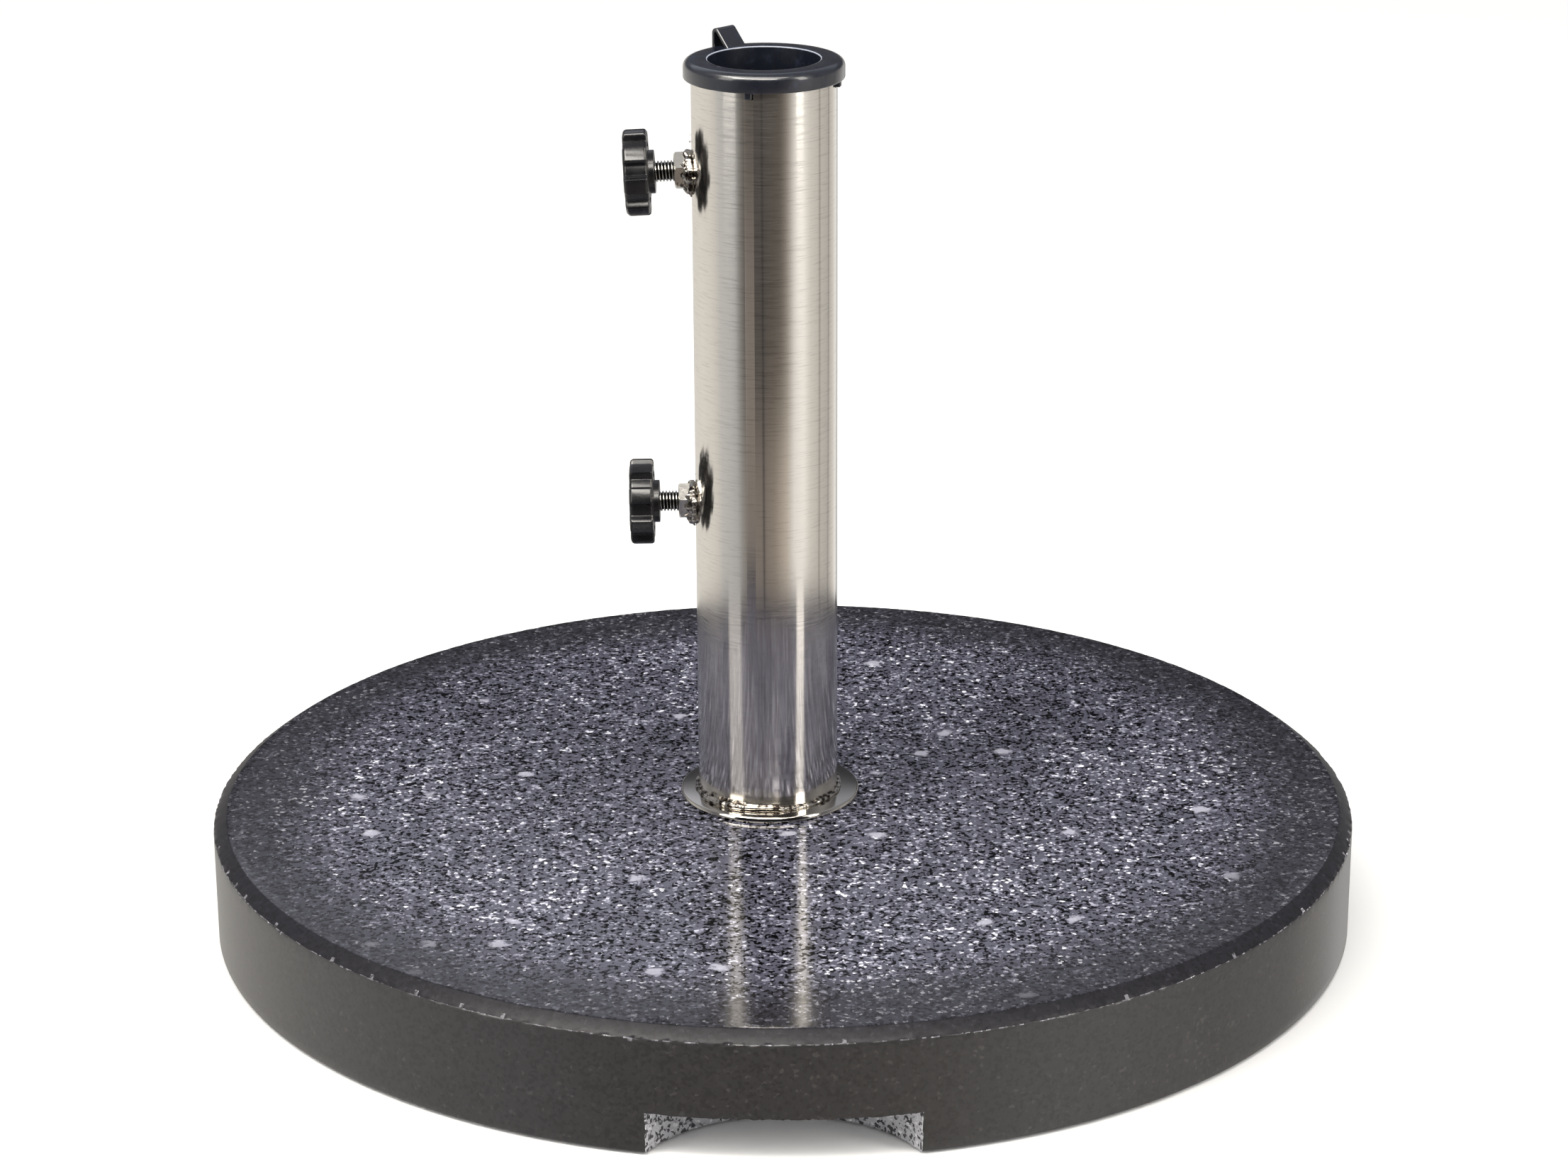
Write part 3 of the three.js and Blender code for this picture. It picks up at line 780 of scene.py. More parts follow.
@dataclass(frozen=True)
class Steel:
    """Bare or plated steel. Brushing runs round the piece, so reflections smear along it."""

    name: str
    colour: str
    roughness: float
    anisotropy: float = 0.0
    line: float = 0.0  # spacing of the brush lines; 0 leaves the surface plain
    line_depth: float = 0.002
    line_shade: float = 0.0  # how dark the dirt in the brush lines is
    stain: str = ""  # heat tint or smut that lies in patches
    stain_share: float = 0.55
    root_shade: str = ""  # painted shade that darkens the roots of a thread

    def build(self) -> bpy.types.Material:
        """Makes the material."""
        material, tree = blank_material(self.name)
        place = add_node(tree, "ShaderNodeTexCoord").outputs["Object"]
        links: dict[str | int, object] = {
            "Base Color": linear(self.colour), "Metallic": 1.0, "Roughness": self.roughness,
            "Anisotropic": self.anisotropy}
        if self.anisotropy:
            tangent = add_node(tree, "ShaderNodeTangent", direction_type="UV_MAP", uv_map=WRAP_UV)
            links["Tangent"] = tangent
            links["Anisotropic Rotation"] = 0.25  # glints run across the brush lines
        if self.line:
            # Long thin streaks: the pattern is drawn out round the piece and fine along it.
            stretch = add_node(tree, "ShaderNodeMapping",
                               {"Vector": place, "Scale": (0.06, 0.06, 1.0)})
            streaks = add_node(tree, "ShaderNodeTexNoise", {
                "Vector": stretch, "Scale": 1 / (self.line * MM), "Detail": 3.0, "Roughness": 0.7
            })
            links["Normal"] = add_node(tree, "ShaderNodeBump", {
                "Height": streaks, "Distance": self.line_depth * MM
            })
            grime = add_node(tree, Step.SMOOTH, (streaks, 0.5, 0.3))
            links["Base Color"] = add_node(tree, Step.MIX, {
                0: add_node(tree, Step.MULTIPLY, (grime, self.line_shade)), 6: linear(self.colour),
                7: linear("2a2724")
            })
            low, high = self.roughness * 0.85, self.roughness * 1.2
            links["Roughness"] = add_node(tree, "ShaderNodeMapRange", {
                "Value": streaks, "From Min": 0.3, "From Max": 0.7, "To Min": low, "To Max": high
            })
        # Painted shade: the thread's roots are darkened towards this colour, as shade in the grooves.
        if self.root_shade:
            root = add_node(tree, "ShaderNodeAttribute", attribute_name=ROOT_ATTRIBUTE)
            links["Base Color"] = add_node(tree, Step.MIX, {
                0: root.outputs["Fac"], 6: linear(self.colour), 7: linear(self.root_shade)
            })
        if self.stain:
            patches = add_node(tree, "ShaderNodeTexNoise",
                               {"Vector": place, "Scale": 1 / (2.5 * MM), "Detail": 4.0,
                                "Roughness": 0.6})
            amount = add_node(tree, Step.SMOOTH, (
                patches, self.stain_share, self.stain_share + 0.18
            ))
            links["Base Color"] = add_node(tree, Step.MIX, {
                0: amount, 6: linear(self.colour), 7: linear(self.stain)
            })
            links["Normal"] = add_node(tree, "ShaderNodeBump", {
                "Height": patches, "Distance": 0.08 * MM
            })
        finish_shader(tree, links)
        return material


@dataclass(frozen=True)
class Moulded:
    """Injection-moulded plastic or die-cut rubber, with the fine grain of its mould."""

    name: str
    colour: str
    roughness: float
    grain: float = 0.5
    grain_depth: float = 0.01
    scuff: str = ""
    coat: float = 0.0

    def build(self) -> bpy.types.Material:
        """Makes the material."""
        material, tree = blank_material(self.name)
        place = add_node(tree, "ShaderNodeTexCoord").outputs["Object"]
        skin = add_node(tree, "ShaderNodeTexNoise",
                        {"Vector": place, "Scale": 1 / (self.grain * MM), "Detail": 3.0})
        wear = add_node(tree, "ShaderNodeTexNoise",
                        {"Vector": place, "Scale": 1 / (6 * MM), "Detail": 5.0,
                         "Roughness": 0.65})
        dull = add_node(tree, "ShaderNodeMapRange", {
            "Value": wear, "From Min": 0.35, "From Max": 0.65, "To Min": self.roughness * 0.85,
            "To Max": self.roughness * 1.2
        })
        colour: object = linear(self.colour)
        if self.scuff:
            wear_and_highlight = add_node(tree, Step.SMOOTH, (wear, 0.55, 0.75))
            colour = add_node(tree, Step.MIX, {
                0: wear_and_highlight, 6: linear(self.colour), 7: linear(self.scuff)
            })
        finish_shader(tree, {
            "Base Color": colour, "Roughness": dull, "IOR": 1.49, "Coat Weight": self.coat,
            "Coat Roughness": 0.12,
            "Normal": add_node(tree, "ShaderNodeBump", {
                "Height": skin, "Distance": self.grain_depth * MM
            })
        })
        return material


@dataclass
class Finishes:
    """Every finish on the object, made once."""

    def __post_init__(self) -> None:
        """Builds the materials."""
        # Diamond-polished face: crystals at full contrast under a wet-looking gloss.
        self.polished = Granite("Granite, polished", ("010102", "30303a", "4c4c59", "9090a0",
                                                      "f4f4fc"), 0.12, gleam=1.0, rim_from=166,
                                rim_to=212, rim_shade="19181b").build()
        # Honed chamfer: crystals nearly closed up, an even dark satin.
        self.honed = Granite("Granite, honed", ("100f12", "1a191d", "1e1d22", "26252a",
                                                "38373c"), 0.42, contrast=0.5, gloss=0.2).build()
        # Sawn and waxed side: the wax drowns the crystals, so it reads as warm near-black.
        self.waxed = Granite("Granite, waxed", ("1b1a1b", "232223", "272627", "2d2b2c",
                                                "3f3d3d"), 0.42, contrast=0.6,
                             pit_depth=0.05, coat=0.5).build()
        # Split notch wall: bright broken crystals with open black pits.
        self.split = Granite("Granite, split", ("3a3a3d", "8a8a8e", "a6a6aa", "c2c2c5",
                                                "e8e8ea"), 0.85, crystal=1.1,
                             pit_depth=0.5).build()
        # Arris where the polish chipped: pale bruised crystals in a thin broken line.
        self.chipped = Granite("Granite, chipped arris", ("2b2a2e", "4c4b50", "68676d", "9a999f",
                                                          "e6e6ea"), 0.6, pit_depth=0.1).build()
        # Sawn underside: matte mid grey with the same grain.
        self.sawn = Granite("Granite, sawn", ("2c2c30", "55555b", "6c6c72", "8f8f95",
                                              "b5b5ba"), 0.75, pit_depth=0.08).build()
        # Stainless tube brushed round its axis: sharp upright stripes, smeared up and down.
        # Real brush lines are finer than a tenth of a millimetre; these are drawn six times
        # as coarse so that they still show.
        self.brushed = Steel("Stainless steel, brushed", "ece8e2", 0.13, anisotropy=0.85,
                             line=0.6, line_depth=0.0015, line_shade=0.16).build()
        # Spun rosette: the same steel, polished almost to a mirror.
        self.spun = Steel("Stainless steel, spun", "c4c0b9", 0.09, line=0.8,
                          line_depth=0.002).build()
        # Weld metal: bright lumps with brown-black smut in the hollows.
        self.weld = Steel("Weld metal, wire-brushed", "b4b0aa", 0.22, stain="2a2320",
                          stain_share=0.44).build()
        # Turned nut: bright, a little heat-tinted beside the bead.
        self.nut = Steel("Steel nut, cold-formed", "d9d6d0", 0.2, stain="85776b",
                         stain_share=0.64).build()
        # Zinc plate: cool bright grey with a soft gloss.
        self.zinc = Steel("Steel, zinc plated", "cfd0d2", 0.2).build()
        # Rolled thread: bright crests, with painted shade darkening the roots.
        self.thread = Steel("Steel thread, root_shaded", "dcdcda", 0.22, root_shade="120e0c").build()
        # Collar: blue-black moulded plastic with a satin skin.
        self.collar = Moulded("Polypropylene, moulded", "10141f", 0.3, grain=0.9,
                              grain_depth=0.008, scuff="1e2538", coat=0.8).build()
        # Sharp inner edge of the collar: painted pale as a highlight where it catches the light.
        self.wear_and_highlight = Moulded("Polypropylene, rubbed edge", "a0a6b4", 0.35).build()
        # Knob: black moulded plastic, glossier, with a faint grain.
        self.knob = Moulded("Nylon knob, moulded", "0c0c10", 0.27, grain=1.0, grain_depth=0.03,
                            coat=0.25).build()
        # Pressure tip: natural milky nylon.
        self.tip = Moulded("Nylon tip, natural", "ddd9cc", 0.5).build()
        # Pads: dull black rubber with a cut edge.
        self.rubber = Moulded("Rubber, die-cut", "191919", 0.85, grain_depth=0.04).build()


# ---------------------------------------------------------------- frame


@dataclass(frozen=True)
class Placing:
    """What a finished piece stands for in the frame."""

    body: str
    node: str
    slot: str


def fit(piece: bpy.types.Object, placing: Placing) -> bpy.types.Object:
    """Lets a finished piece ride on its body and stand for its node."""
    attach(piece, placing.body)
    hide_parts(placing.node)
    LOG.info("%s rides on %s: %d faces", piece.name, placing.body, len(piece.data.polygons))
    return piece


def extent(node: str) -> tuple[Vector, Vector]:
    """A CAD node's lowest and highest corner in millimetres."""
    low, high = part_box(node)
    return low / MM, high / MM


def put(thing: bpy.types.Object, place: Matrix) -> bpy.types.Object:
    """Moves a mesh object's points by a matrix that is in millimetres."""
    place = place.copy()
    place.translation = place.translation * MM
    thing.data.transform(place)
    return thing


def closed_curve(name: str, points: Sequence[Vector], cyclic: bool = True) -> bpy.types.Object:
    """A curve object through points given in millimetres."""
    curve = bpy.data.curves.new(name, "CURVE")
    curve.dimensions = "3D"
    spline = curve.splines.new("POLY")
    spline.points.add(len(points) - 1)
    for target, point in zip(spline.points, points):
        target.co = (*(point * MM), 1.0)
    spline.use_cyclic_u = cyclic
    return new_object(name, curve)


# ---------------------------------------------------------------- stone disc


class StoneZone(Enum):
    """How each face of the stone was worked, in material order."""

    POLISHED = 0
    HONED = 1
    WAXED = 2
    SAWN = 3


@dataclass
class StoneDisc:
    """The granite disc, its two grip notches and its four rubber pads."""

    finishes: Finishes
    relief: GeometryTree
    chamfer_wide: float = 5.3
    chamfer_deep: float = 4.0
    chip_band: float = 0.6
    chip_depth: float = 0.9
    notch_radius: float = 56.0
    notch_centre: float = 246.0
    notch_height: float = 16.0
    bolt_hole: float = 8.0
    counterbore: float = 18.0
    counterbore_depth: float = 16.0
    columns: int = 900

    def outline(self, radius: float, low: float, top: float) -> tuple[list[Point2], list[int]]:
        """The disc's turned outline and the zone of each band in it.

        Args:
            radius: the disc's radius.
            low: height of its underside.
            top: height of its polished face.
        Returns:
            The outline's points, and one material index for each step between them.
        """
        lip = top - self.chamfer_deep
        inner = radius - self.chamfer_wide
        band = self.chip_band
        points: list[Point2] = [(0.0, low), (60.0, low), (radius - 30, low), (radius - 1, low),
                                (radius - 0.3, low + 0.3), (radius, low + 1)]
        zones = [StoneZone.SAWN] * 4 + [StoneZone.WAXED]
        side_rows = 12
        for i in range(1, side_rows + 1):
            points.append((radius, low + 1 + (lip - 1.2 - low - 1) * i / side_rows))
            zones.append(StoneZone.WAXED)
        points.append((radius, lip - band / 2))
        zones.append(StoneZone.WAXED)
        slope = self.chamfer_deep / math.hypot(self.chamfer_deep, self.chamfer_wide)
        across = self.chamfer_wide / math.hypot(self.chamfer_deep, self.chamfer_wide)
        points += [(radius - 0.12, lip + 0.02), (radius - band / 2 * across, lip + band / 2 * slope)]
        zones += [StoneZone.WAXED, StoneZone.HONED]
        for i in (0.3, 0.6):
            points.append((radius - self.chamfer_wide * i, lip + self.chamfer_deep * i))
            zones.append(StoneZone.HONED)
        points += [(inner + 0.5 * across, top - 0.5 * slope), (inner, top - 0.06),
                   (inner - 0.7, top)]
        zones += [StoneZone.HONED] * 2 + [StoneZone.POLISHED]
        for r in (inner - 4, inner - 20, 150.0, 80.0, 40.0, 0.0):
            points.append((r, top))
            zones.append(StoneZone.POLISHED)
        return points, [zone.value for zone in zones]

    def notch_cutter(self, side: int, low: float) -> bpy.types.Object:
        """A rough-walled drum that leaves a grip notch when it is cut away."""
        steps = 14
        top = low + self.notch_height
        outline: list[Point2] = [(0.0, low - 4)]
        outline += [(self.notch_radius, low - 4 + (top - low + 4) * i / steps)
                    for i in range(steps + 1)]
        outline += [(self.notch_radius - step, top) for step in (4, 9, 15, 22, 30, 40)]
        outline.append((0.0, top))
        mesh = turned(outline, 420)
        relief = mesh.attributes.new(RELIEF_ATTRIBUTE, "FLOAT", "POINT")
        relief.data.foreach_set("value", [1.1 * MM] * len(mesh.vertices))
        drum = self.relief.grow("notch_cutter", new_object("drum", mesh), Grain=2.4 * MM,
                                Chip_Share=0.3, Bare_Depth=-1.0, Seed=float(side),
                                Material=self.finishes.split)
        return put(drum, Matrix.Translation((0, side * self.notch_centre, 0)))

    def build_slab(self) -> bpy.types.Object:
        """Builds the disc with its chipped arris, notches and bolt hole."""
        low, high = extent("granite_slab")
        radius = (high.x - low.x) / 2
        outline, zones = self.outline(radius, low.z, high.z)
        mesh = turned(outline, self.columns, zones=zones)
        lip = high.z - self.chamfer_deep
        edge = [max(0.0, 1 - abs(v.co.z / MM - lip) / 0.9) if v.co.xy.length / MM > radius - 1.2
                else 0.0 for v in mesh.vertices]
        rim = [0.25 if abs(v.co.xy.length / MM - (radius - self.chamfer_wide)) < 0.6
               and v.co.z / MM > lip + 1 else 0.0 for v in mesh.vertices]
        relief = mesh.attributes.new(RELIEF_ATTRIBUTE, "FLOAT", "POINT")
        relief.data.foreach_set("value", [max(a, b) * self.chip_depth * MM
                                          for a, b in zip(edge, rim)])
        f = self.finishes
        slab = new_object("disc", mesh, f.polished, f.honed, f.waxed, f.sawn)
        slab = self.relief.grow("stone_disc", slab, Grain=2.2 * MM, Chip_Share=0.43,
                                Bare_Depth=0.2 * MM, Seed=4.0, Material=f.chipped)
        tube_low, tube_high = extent("tube_sleeve")
        axis_x = (tube_low.x + tube_high.x) / 2
        below = low.z - 5
        hole = new_object("hole", turned([(0, below), (self.bolt_hole, below),
                                          (self.bolt_hole, high.z + 5), (0, high.z + 5)], 96),
                          f.sawn)
        sink_top = low.z + self.counterbore_depth
        sink = new_object("sink", turned([(0, below), (self.counterbore, below),
                                          (self.counterbore, sink_top), (0, sink_top)], 128),
                          f.sawn)
        at_axis = Matrix.Translation((axis_x, 0, 0))
        cutters = [put(hole, at_axis), put(sink, at_axis)]
        cutters += [self.notch_cutter(side, low.z) for side in (-1, 1)]
        for i in range(1, 5):
            pad_low, pad_high = extent(f"floor_pad_{i}")
            middle = (pad_low + pad_high) / 2
            reach = (pad_high.x - pad_low.x) / 2 + 0.3
            seat = turned([(0, below), (reach, below), (reach, pad_high.z + 0.1),
                           (0, pad_high.z + 0.1)], 64)
            cutters.append(put(new_object("seat", seat, f.sawn),
                               Matrix.Translation((middle.x, middle.y, 0))))
        slab = combine(slab, cutters, "DIFFERENCE")
        return crisp(slab, 40)

    def build_pad(self, index: int) -> bpy.types.Object:
        """Builds one rubber pad with a rounded rim and two grip rings."""
        low, high = extent(f"floor_pad_{index}")
        middle = (low + high) / 2
        radius = (high.x - low.x) / 2
        corners = [(0, 0, 0), (6, 0, 0), (6.4, 0.5, 0.2), (7.2, 0.5, 0.2), (7.6, 0, 0.2),
                   (10.4, 0, 0.2), (10.8, 0.5, 0.2), (11.6, 0.5, 0.2), (12, 0, 0.2),
                   (radius, 0, 0.6), (radius, high.z, 0.3), (0, high.z, 0)]
        pad = new_object(f"pad_{index}", turned(filleted(corners, 3), 96), self.finishes.rubber)
        return crisp(put(pad, Matrix.Translation((middle.x, middle.y, 0))))

    def build(self) -> None:
        """Builds and fits every piece of the disc."""
        fit(self.build_slab(), Placing("base", "granite_slab", "polished_granite"))
        for i in range(1, 5):
            fit(self.build_pad(i), Placing("base", f"floor_pad_{i}", "pad_rubber"))


# ---------------------------------------------------------------- tube, plate and anchor


@dataclass
class Mast:
    """The brushed tube, its rosette plate, the weld at its foot and the anchor bolt."""

    finishes: Finishes
    wall: float = 1.5
    thread_pitch: float = 1.75

    def __post_init__(self) -> None:
        """Reads the tube's place from the frame."""
        self.low, self.high = extent("tube_sleeve")
        self.radius = (self.high.x - self.low.x) / 2
        self.axis = Matrix.Translation(((self.low.x + self.high.x) / 2, 0, 0))

    def build_tube(self) -> bpy.types.Object:
        """Builds the tube with its screw holes and key slots."""
        inner, outer, low, high = self.radius - self.wall, self.radius, self.low.z, self.high.z
        corners = [(inner, low, 0.3), (outer, low, 0.3), (outer, high, 0.35),
                   (inner, high, 0.35)]
        mesh = turned(filleted(corners, 3, closed=True), 360, closed=True)
        tube = put(new_object("tube", mesh, self.finishes.brushed), self.axis)
        cutters = []
        for clamp in ("upper", "lower"):
            bolt_low, bolt_high = extent(f"{clamp}_clamp_nut")
            height = (bolt_low.z + bolt_high.z) / 2
            drill = turned([(0, 0), (4.7, 0), (4.7, outer + 3), (0, outer + 3)], 48)
            lay = Matrix.Translation((0, 0, height)) @ Matrix.Rotation(-math.pi / 2, 4, "Y")
            cutters.append(put(new_object("drill", drill, self.finishes.brushed),
                               self.axis @ lay))
        for angle in Collar.key_angles():
            half = Collar.key_width / 2 + 0.3
            slot = pushed([(inner - 3, -half), (outer + 3, -half), (outer + 3, half),
                           (inner - 3, half)], high - 2.7, high + 4, 0.01)
            turn = Matrix.Rotation(math.radians(angle), 4, "Z")
            cutters.append(put(new_object("slot", slot, self.finishes.brushed),
                               self.axis @ turn))
        return crisp(combine(tube, cutters, "DIFFERENCE"), 30)

    def build_plate(self) -> bpy.types.Object:
        """Builds the rosette, a spun disc with a rolled edge."""
        low, high = extent("base_plate")
        radius = (high.x - low.x) / 2
        corners = [(6.5, low.z - 0.3, 0.2), (radius - 0.4, low.z - 0.3, 0.2),
                   (radius, low.z + 0.6, 0.5), (radius - 0.5, high.z, 0.7),
                   (6.5, high.z, 0.2)]
        mesh = turned(filleted(corners, 5, closed=True), 256, closed=True)
        plate = new_object("rosette_plate", mesh, self.finishes.spun)
        return put(plate, Matrix.Translation(((low.x + high.x) / 2, 0, 0)))

    def build_foot_weld(self, beads: GeometryTree) -> bpy.types.Object:
        """Builds the bead round the tube's foot, thicker where the welder stopped."""
        low, _ = extent("tube_foot_weld")
        count = 180
        path = []
        for i in range(count):
            angle = 2 * math.pi * i / count
            rise = 0.5 + 0.35 * math.sin(3 * angle + 0.6) + 0.25 * math.sin(7 * angle)
            path.append(Vector(((self.radius + 0.55) * math.cos(angle),
                                (self.radius + 0.55) * math.sin(angle), low.z + rise)))
        host = closed_curve("bead_path", path)
        settings = {"Ripple_Pitch": 2.6 * MM, "Ripple": 0.02, "Lump_Size": 8 * MM,
                    "Taper": 0.0, "Material": self.finishes.weld}
        bead = beads.grow("bead", host, Radius=0.85 * MM, Lumpiness=0.7, Seed=2.0, Points=900,
                          **settings)
        # The blob and overrun where the bead was started and finished, at the front left.
        stop = [Vector(((self.radius + 1.2) * math.cos(math.radians(a)),
                        (self.radius + 1.2) * math.sin(math.radians(a)), low.z + 0.7))
                for a in range(212, 254, 3)]
        tail = beads.grow("tail", closed_curve("tail_path", stop, cyclic=False),
                          Radius=1.1 * MM, Lumpiness=0.7, Seed=7.0, Points=120, **settings)
        return put(merged("foot_weld", [bead, tail]), self.axis)

    def build_anchor(self, threads: GeometryTree) -> None:
        """Builds and fits the anchor bolt, its washers and its nut."""
        zinc = self.finishes.zinc
        low, high = extent("anchor_bolt")
        head_top = low.z + 7.5
        shank = threads.grow(
            "shank", new_object("host", bpy.data.meshes.new("host")), Radius=6 * MM,
            Depth=1.05 * MM, Pitch=self.thread_pitch * MM, Start=(head_top - 0.5) * MM,
            Length=(high.z - head_top + 0.5) * MM, Columns=73, Rows=380, Material=self.finishes.thread)
        head = new_object("head", hex_body(19, low.z, head_top), zinc)
        bolt = put(merged("anchor_hex_bolt", [crisp(head), shank]), self.axis)
        fit(bolt, Placing("base", "anchor_bolt", "zinc_steel"))
        low, high = extent("anchor_washer")
        radius = (high.x - low.x) / 2
        corners = [(6.4, low.z, 0.2), (radius, low.z, 0.3), (radius, high.z, 0.3),
                   (6.4, high.z, 0.2)]
        washer = turned(filleted(corners, 3, closed=True), 96, closed=True)
        fit(put(new_object("flat_washer", washer, zinc), self.axis),
            Placing("base", "anchor_washer", "zinc_steel"))
        low, high = extent("anchor_spring_washer")
        fit(put(new_object("split_washer", self.split_ring(low.z, high.z), zinc), self.axis),
            Placing("base", "anchor_spring_washer", "zinc_steel"))
        low, high = extent("anchor_nut")
        nut = new_object("anchor_hex_nut", hex_body(19, low.z, high.z, 6.1), zinc)
        fit(crisp(put(nut, self.axis)), Placing("base", "anchor_nut", "zinc_steel"))

    def split_ring(self, low: float, high: float) -> bpy.types.Mesh:
        """A spring washer: a square wire bent almost to a ring, with one end lifted."""
        inner, outer, thick, steps = 6.4, 10.1, 2.1, 72
        section = filleted([(inner, 0, 0.3), (outer, 0, 0.3), (outer, thick, 0.3),
                            (inner, thick, 0.3)], 3, closed=True)
        rings = []
        for i in range(steps + 1):
            angle = math.radians(6 + 348 * i / steps)
            lift = low + (high - low - thick) * i / steps
            rings.append([Vector((r * math.cos(angle), r * math.sin(angle), z + lift))
                          for r, z in section])
        mesh = loft(rings)
        count = len(section)
        faces = [tuple(p.vertices) for p in mesh.polygons]
        faces.append(tuple(range(count - 1, -1, -1)))
        faces.append(tuple(range(steps * count, (steps + 1) * count)))
        verts = [v.co.copy() for v in mesh.vertices]
        ring = bpy.data.meshes.new("split_ring")
        ring.from_pydata(verts, [], faces)
        ring.uv_layers.new(name=WRAP_UV)
        return ring

    def build(self, beads: GeometryTree, threads: GeometryTree) -> None:
        """Builds and fits the tube's pieces."""
        fit(self.build_plate(), Placing("base", "base_plate", "brushed_stainless"))
        fit(self.build_foot_weld(beads), Placing("base", "tube_foot_weld", "weld_bead"))
        fit(self.build_tube(), Placing("base", "tube_sleeve", "brushed_stainless"))
        self.build_anchor(threads)


# ---------------------------------------------------------------- collar


@dataclass
class Collar:
    """The plastic reducer collar with its keys and its pull loop."""

    finishes: Finishes
    bore: float = 21.2
    rim_thickness: float = 6.9
    loop_angle: float = 119.0
    loop_twist: float = 16.0
    loop_width: float = 9.5
    loop_wall: float = 1.3
    loop_inner: float = 22.6
    loop_outer: float = 31.8
    crown: float = 1.9

    key_width = 3.0
    first_key = -102.0

    @classmethod
    def key_angles(cls) -> list[float]:
        """Directions of the four keys, in degrees from +X."""
        return [cls.first_key + 90 * i for i in range(4)]

    def loop_outline(self, rim_top: float, top: float) -> list[Point2]:
        """The bent strap of the pull loop, seen along its width.

        Args:
            rim_top: height of the collar's top face.
            top: height of the loop's crown.
        Returns:
            A closed outline of distance from the axis and height.
        """
        middle_x, middle_z = self.loop_outer - self.crown, top - self.crown
        lean = 135
        inside = self.crown - self.loop_wall

        def arc(radius: float, start: float, stop: float, steps: int) -> list[Point2]:
            """Points on a bend about the crown's centre."""
            angles = [math.radians(start + (stop - start) * i / steps) for i in range(steps + 1)]
            return [(middle_x + radius * math.cos(a), middle_z + radius * math.sin(a))
                    for a in angles]

        foot = rim_top - 0.6
        return [
            *arc(self.crown, 0, lean, 12), (self.loop_inner, foot),
            (self.loop_inner + self.loop_wall * 1.45, foot), *arc(inside, lean, 0, 8),
            (self.loop_outer - self.loop_wall, rim_top - 4.2), (self.loop_outer, rim_top - 4.2)]

    def build(self) -> None:
        """Builds and fits the collar."""
        low, high = extent("reducer_collar")
        tube_low, tube_high = extent("tube_sleeve")
        axis_x = (tube_low.x + tube_high.x) / 2
        rim_low = tube_high.z + 0.05
        rim_top = rim_low + self.rim_thickness + 0.25
        rim = 30.4
        sleeve = (tube_high.x - tube_low.x) / 2 - 1.8
        corners = [(self.bore, low.z, 0.5), (sleeve, low.z, 0.8), (sleeve, rim_low, 0.3),
                   (rim, rim_low, 0.7), (rim, rim_top, 2.9), (self.bore, rim_top, 0.55)]
        outline = filleted(corners, 7, closed=True)
        # Painted highlight: the band round the top of the bore takes a pale finish, a bright line
        # where the edge catches the light.
        highlit_edge = [int(r < self.bore + 0.5 and z > rim_top - 0.3) for r, z in outline]
        mesh = turned(outline, 300, closed=True, zones=highlit_edge)
        plastic = self.finishes.collar
        collar = new_object("reducer_ring", mesh, plastic, self.finishes.wear_and_highlight)
        extras = []
        for angle in self.key_angles():
            half = self.key_width / 2
            box = filleted([(sleeve - 1, -half, 0), (29.4, -half, 0.8), (29.4, half, 0.8),
                            (sleeve - 1, half, 0)], 4, closed=True)
            key = new_object("key", pushed(box, rim_low - 2.5, rim_low + 1, 0.35), plastic)
            extras.append(put(key, Matrix.Rotation(math.radians(angle), 4, "Z")))
        strap = pushed(self.loop_outline(rim_top, high.z), -self.loop_width / 2,
                       self.loop_width / 2, 0.22)
        middle = Vector(((self.loop_inner + self.loop_outer) / 2, 0, 0))
        stand = (Matrix.Rotation(math.radians(self.loop_angle), 4, "Z")
                 @ Matrix.Translation(middle)
                 @ Matrix.Rotation(math.radians(self.loop_twist), 4, "Z")
                 @ Matrix.Translation(-middle) @ Matrix.Rotation(math.pi / 2, 4, "X"))
        extras.append(put(new_object("strap", strap, plastic), stand))
        collar = combine(collar, extras, "UNION")
        put(crisp(collar, 35), Matrix.Translation((axis_x, 0, 0)))
        fit(collar, Placing("collar", "reducer_collar", "collar_plastic"))


# ---------------------------------------------------------------- clamp screws


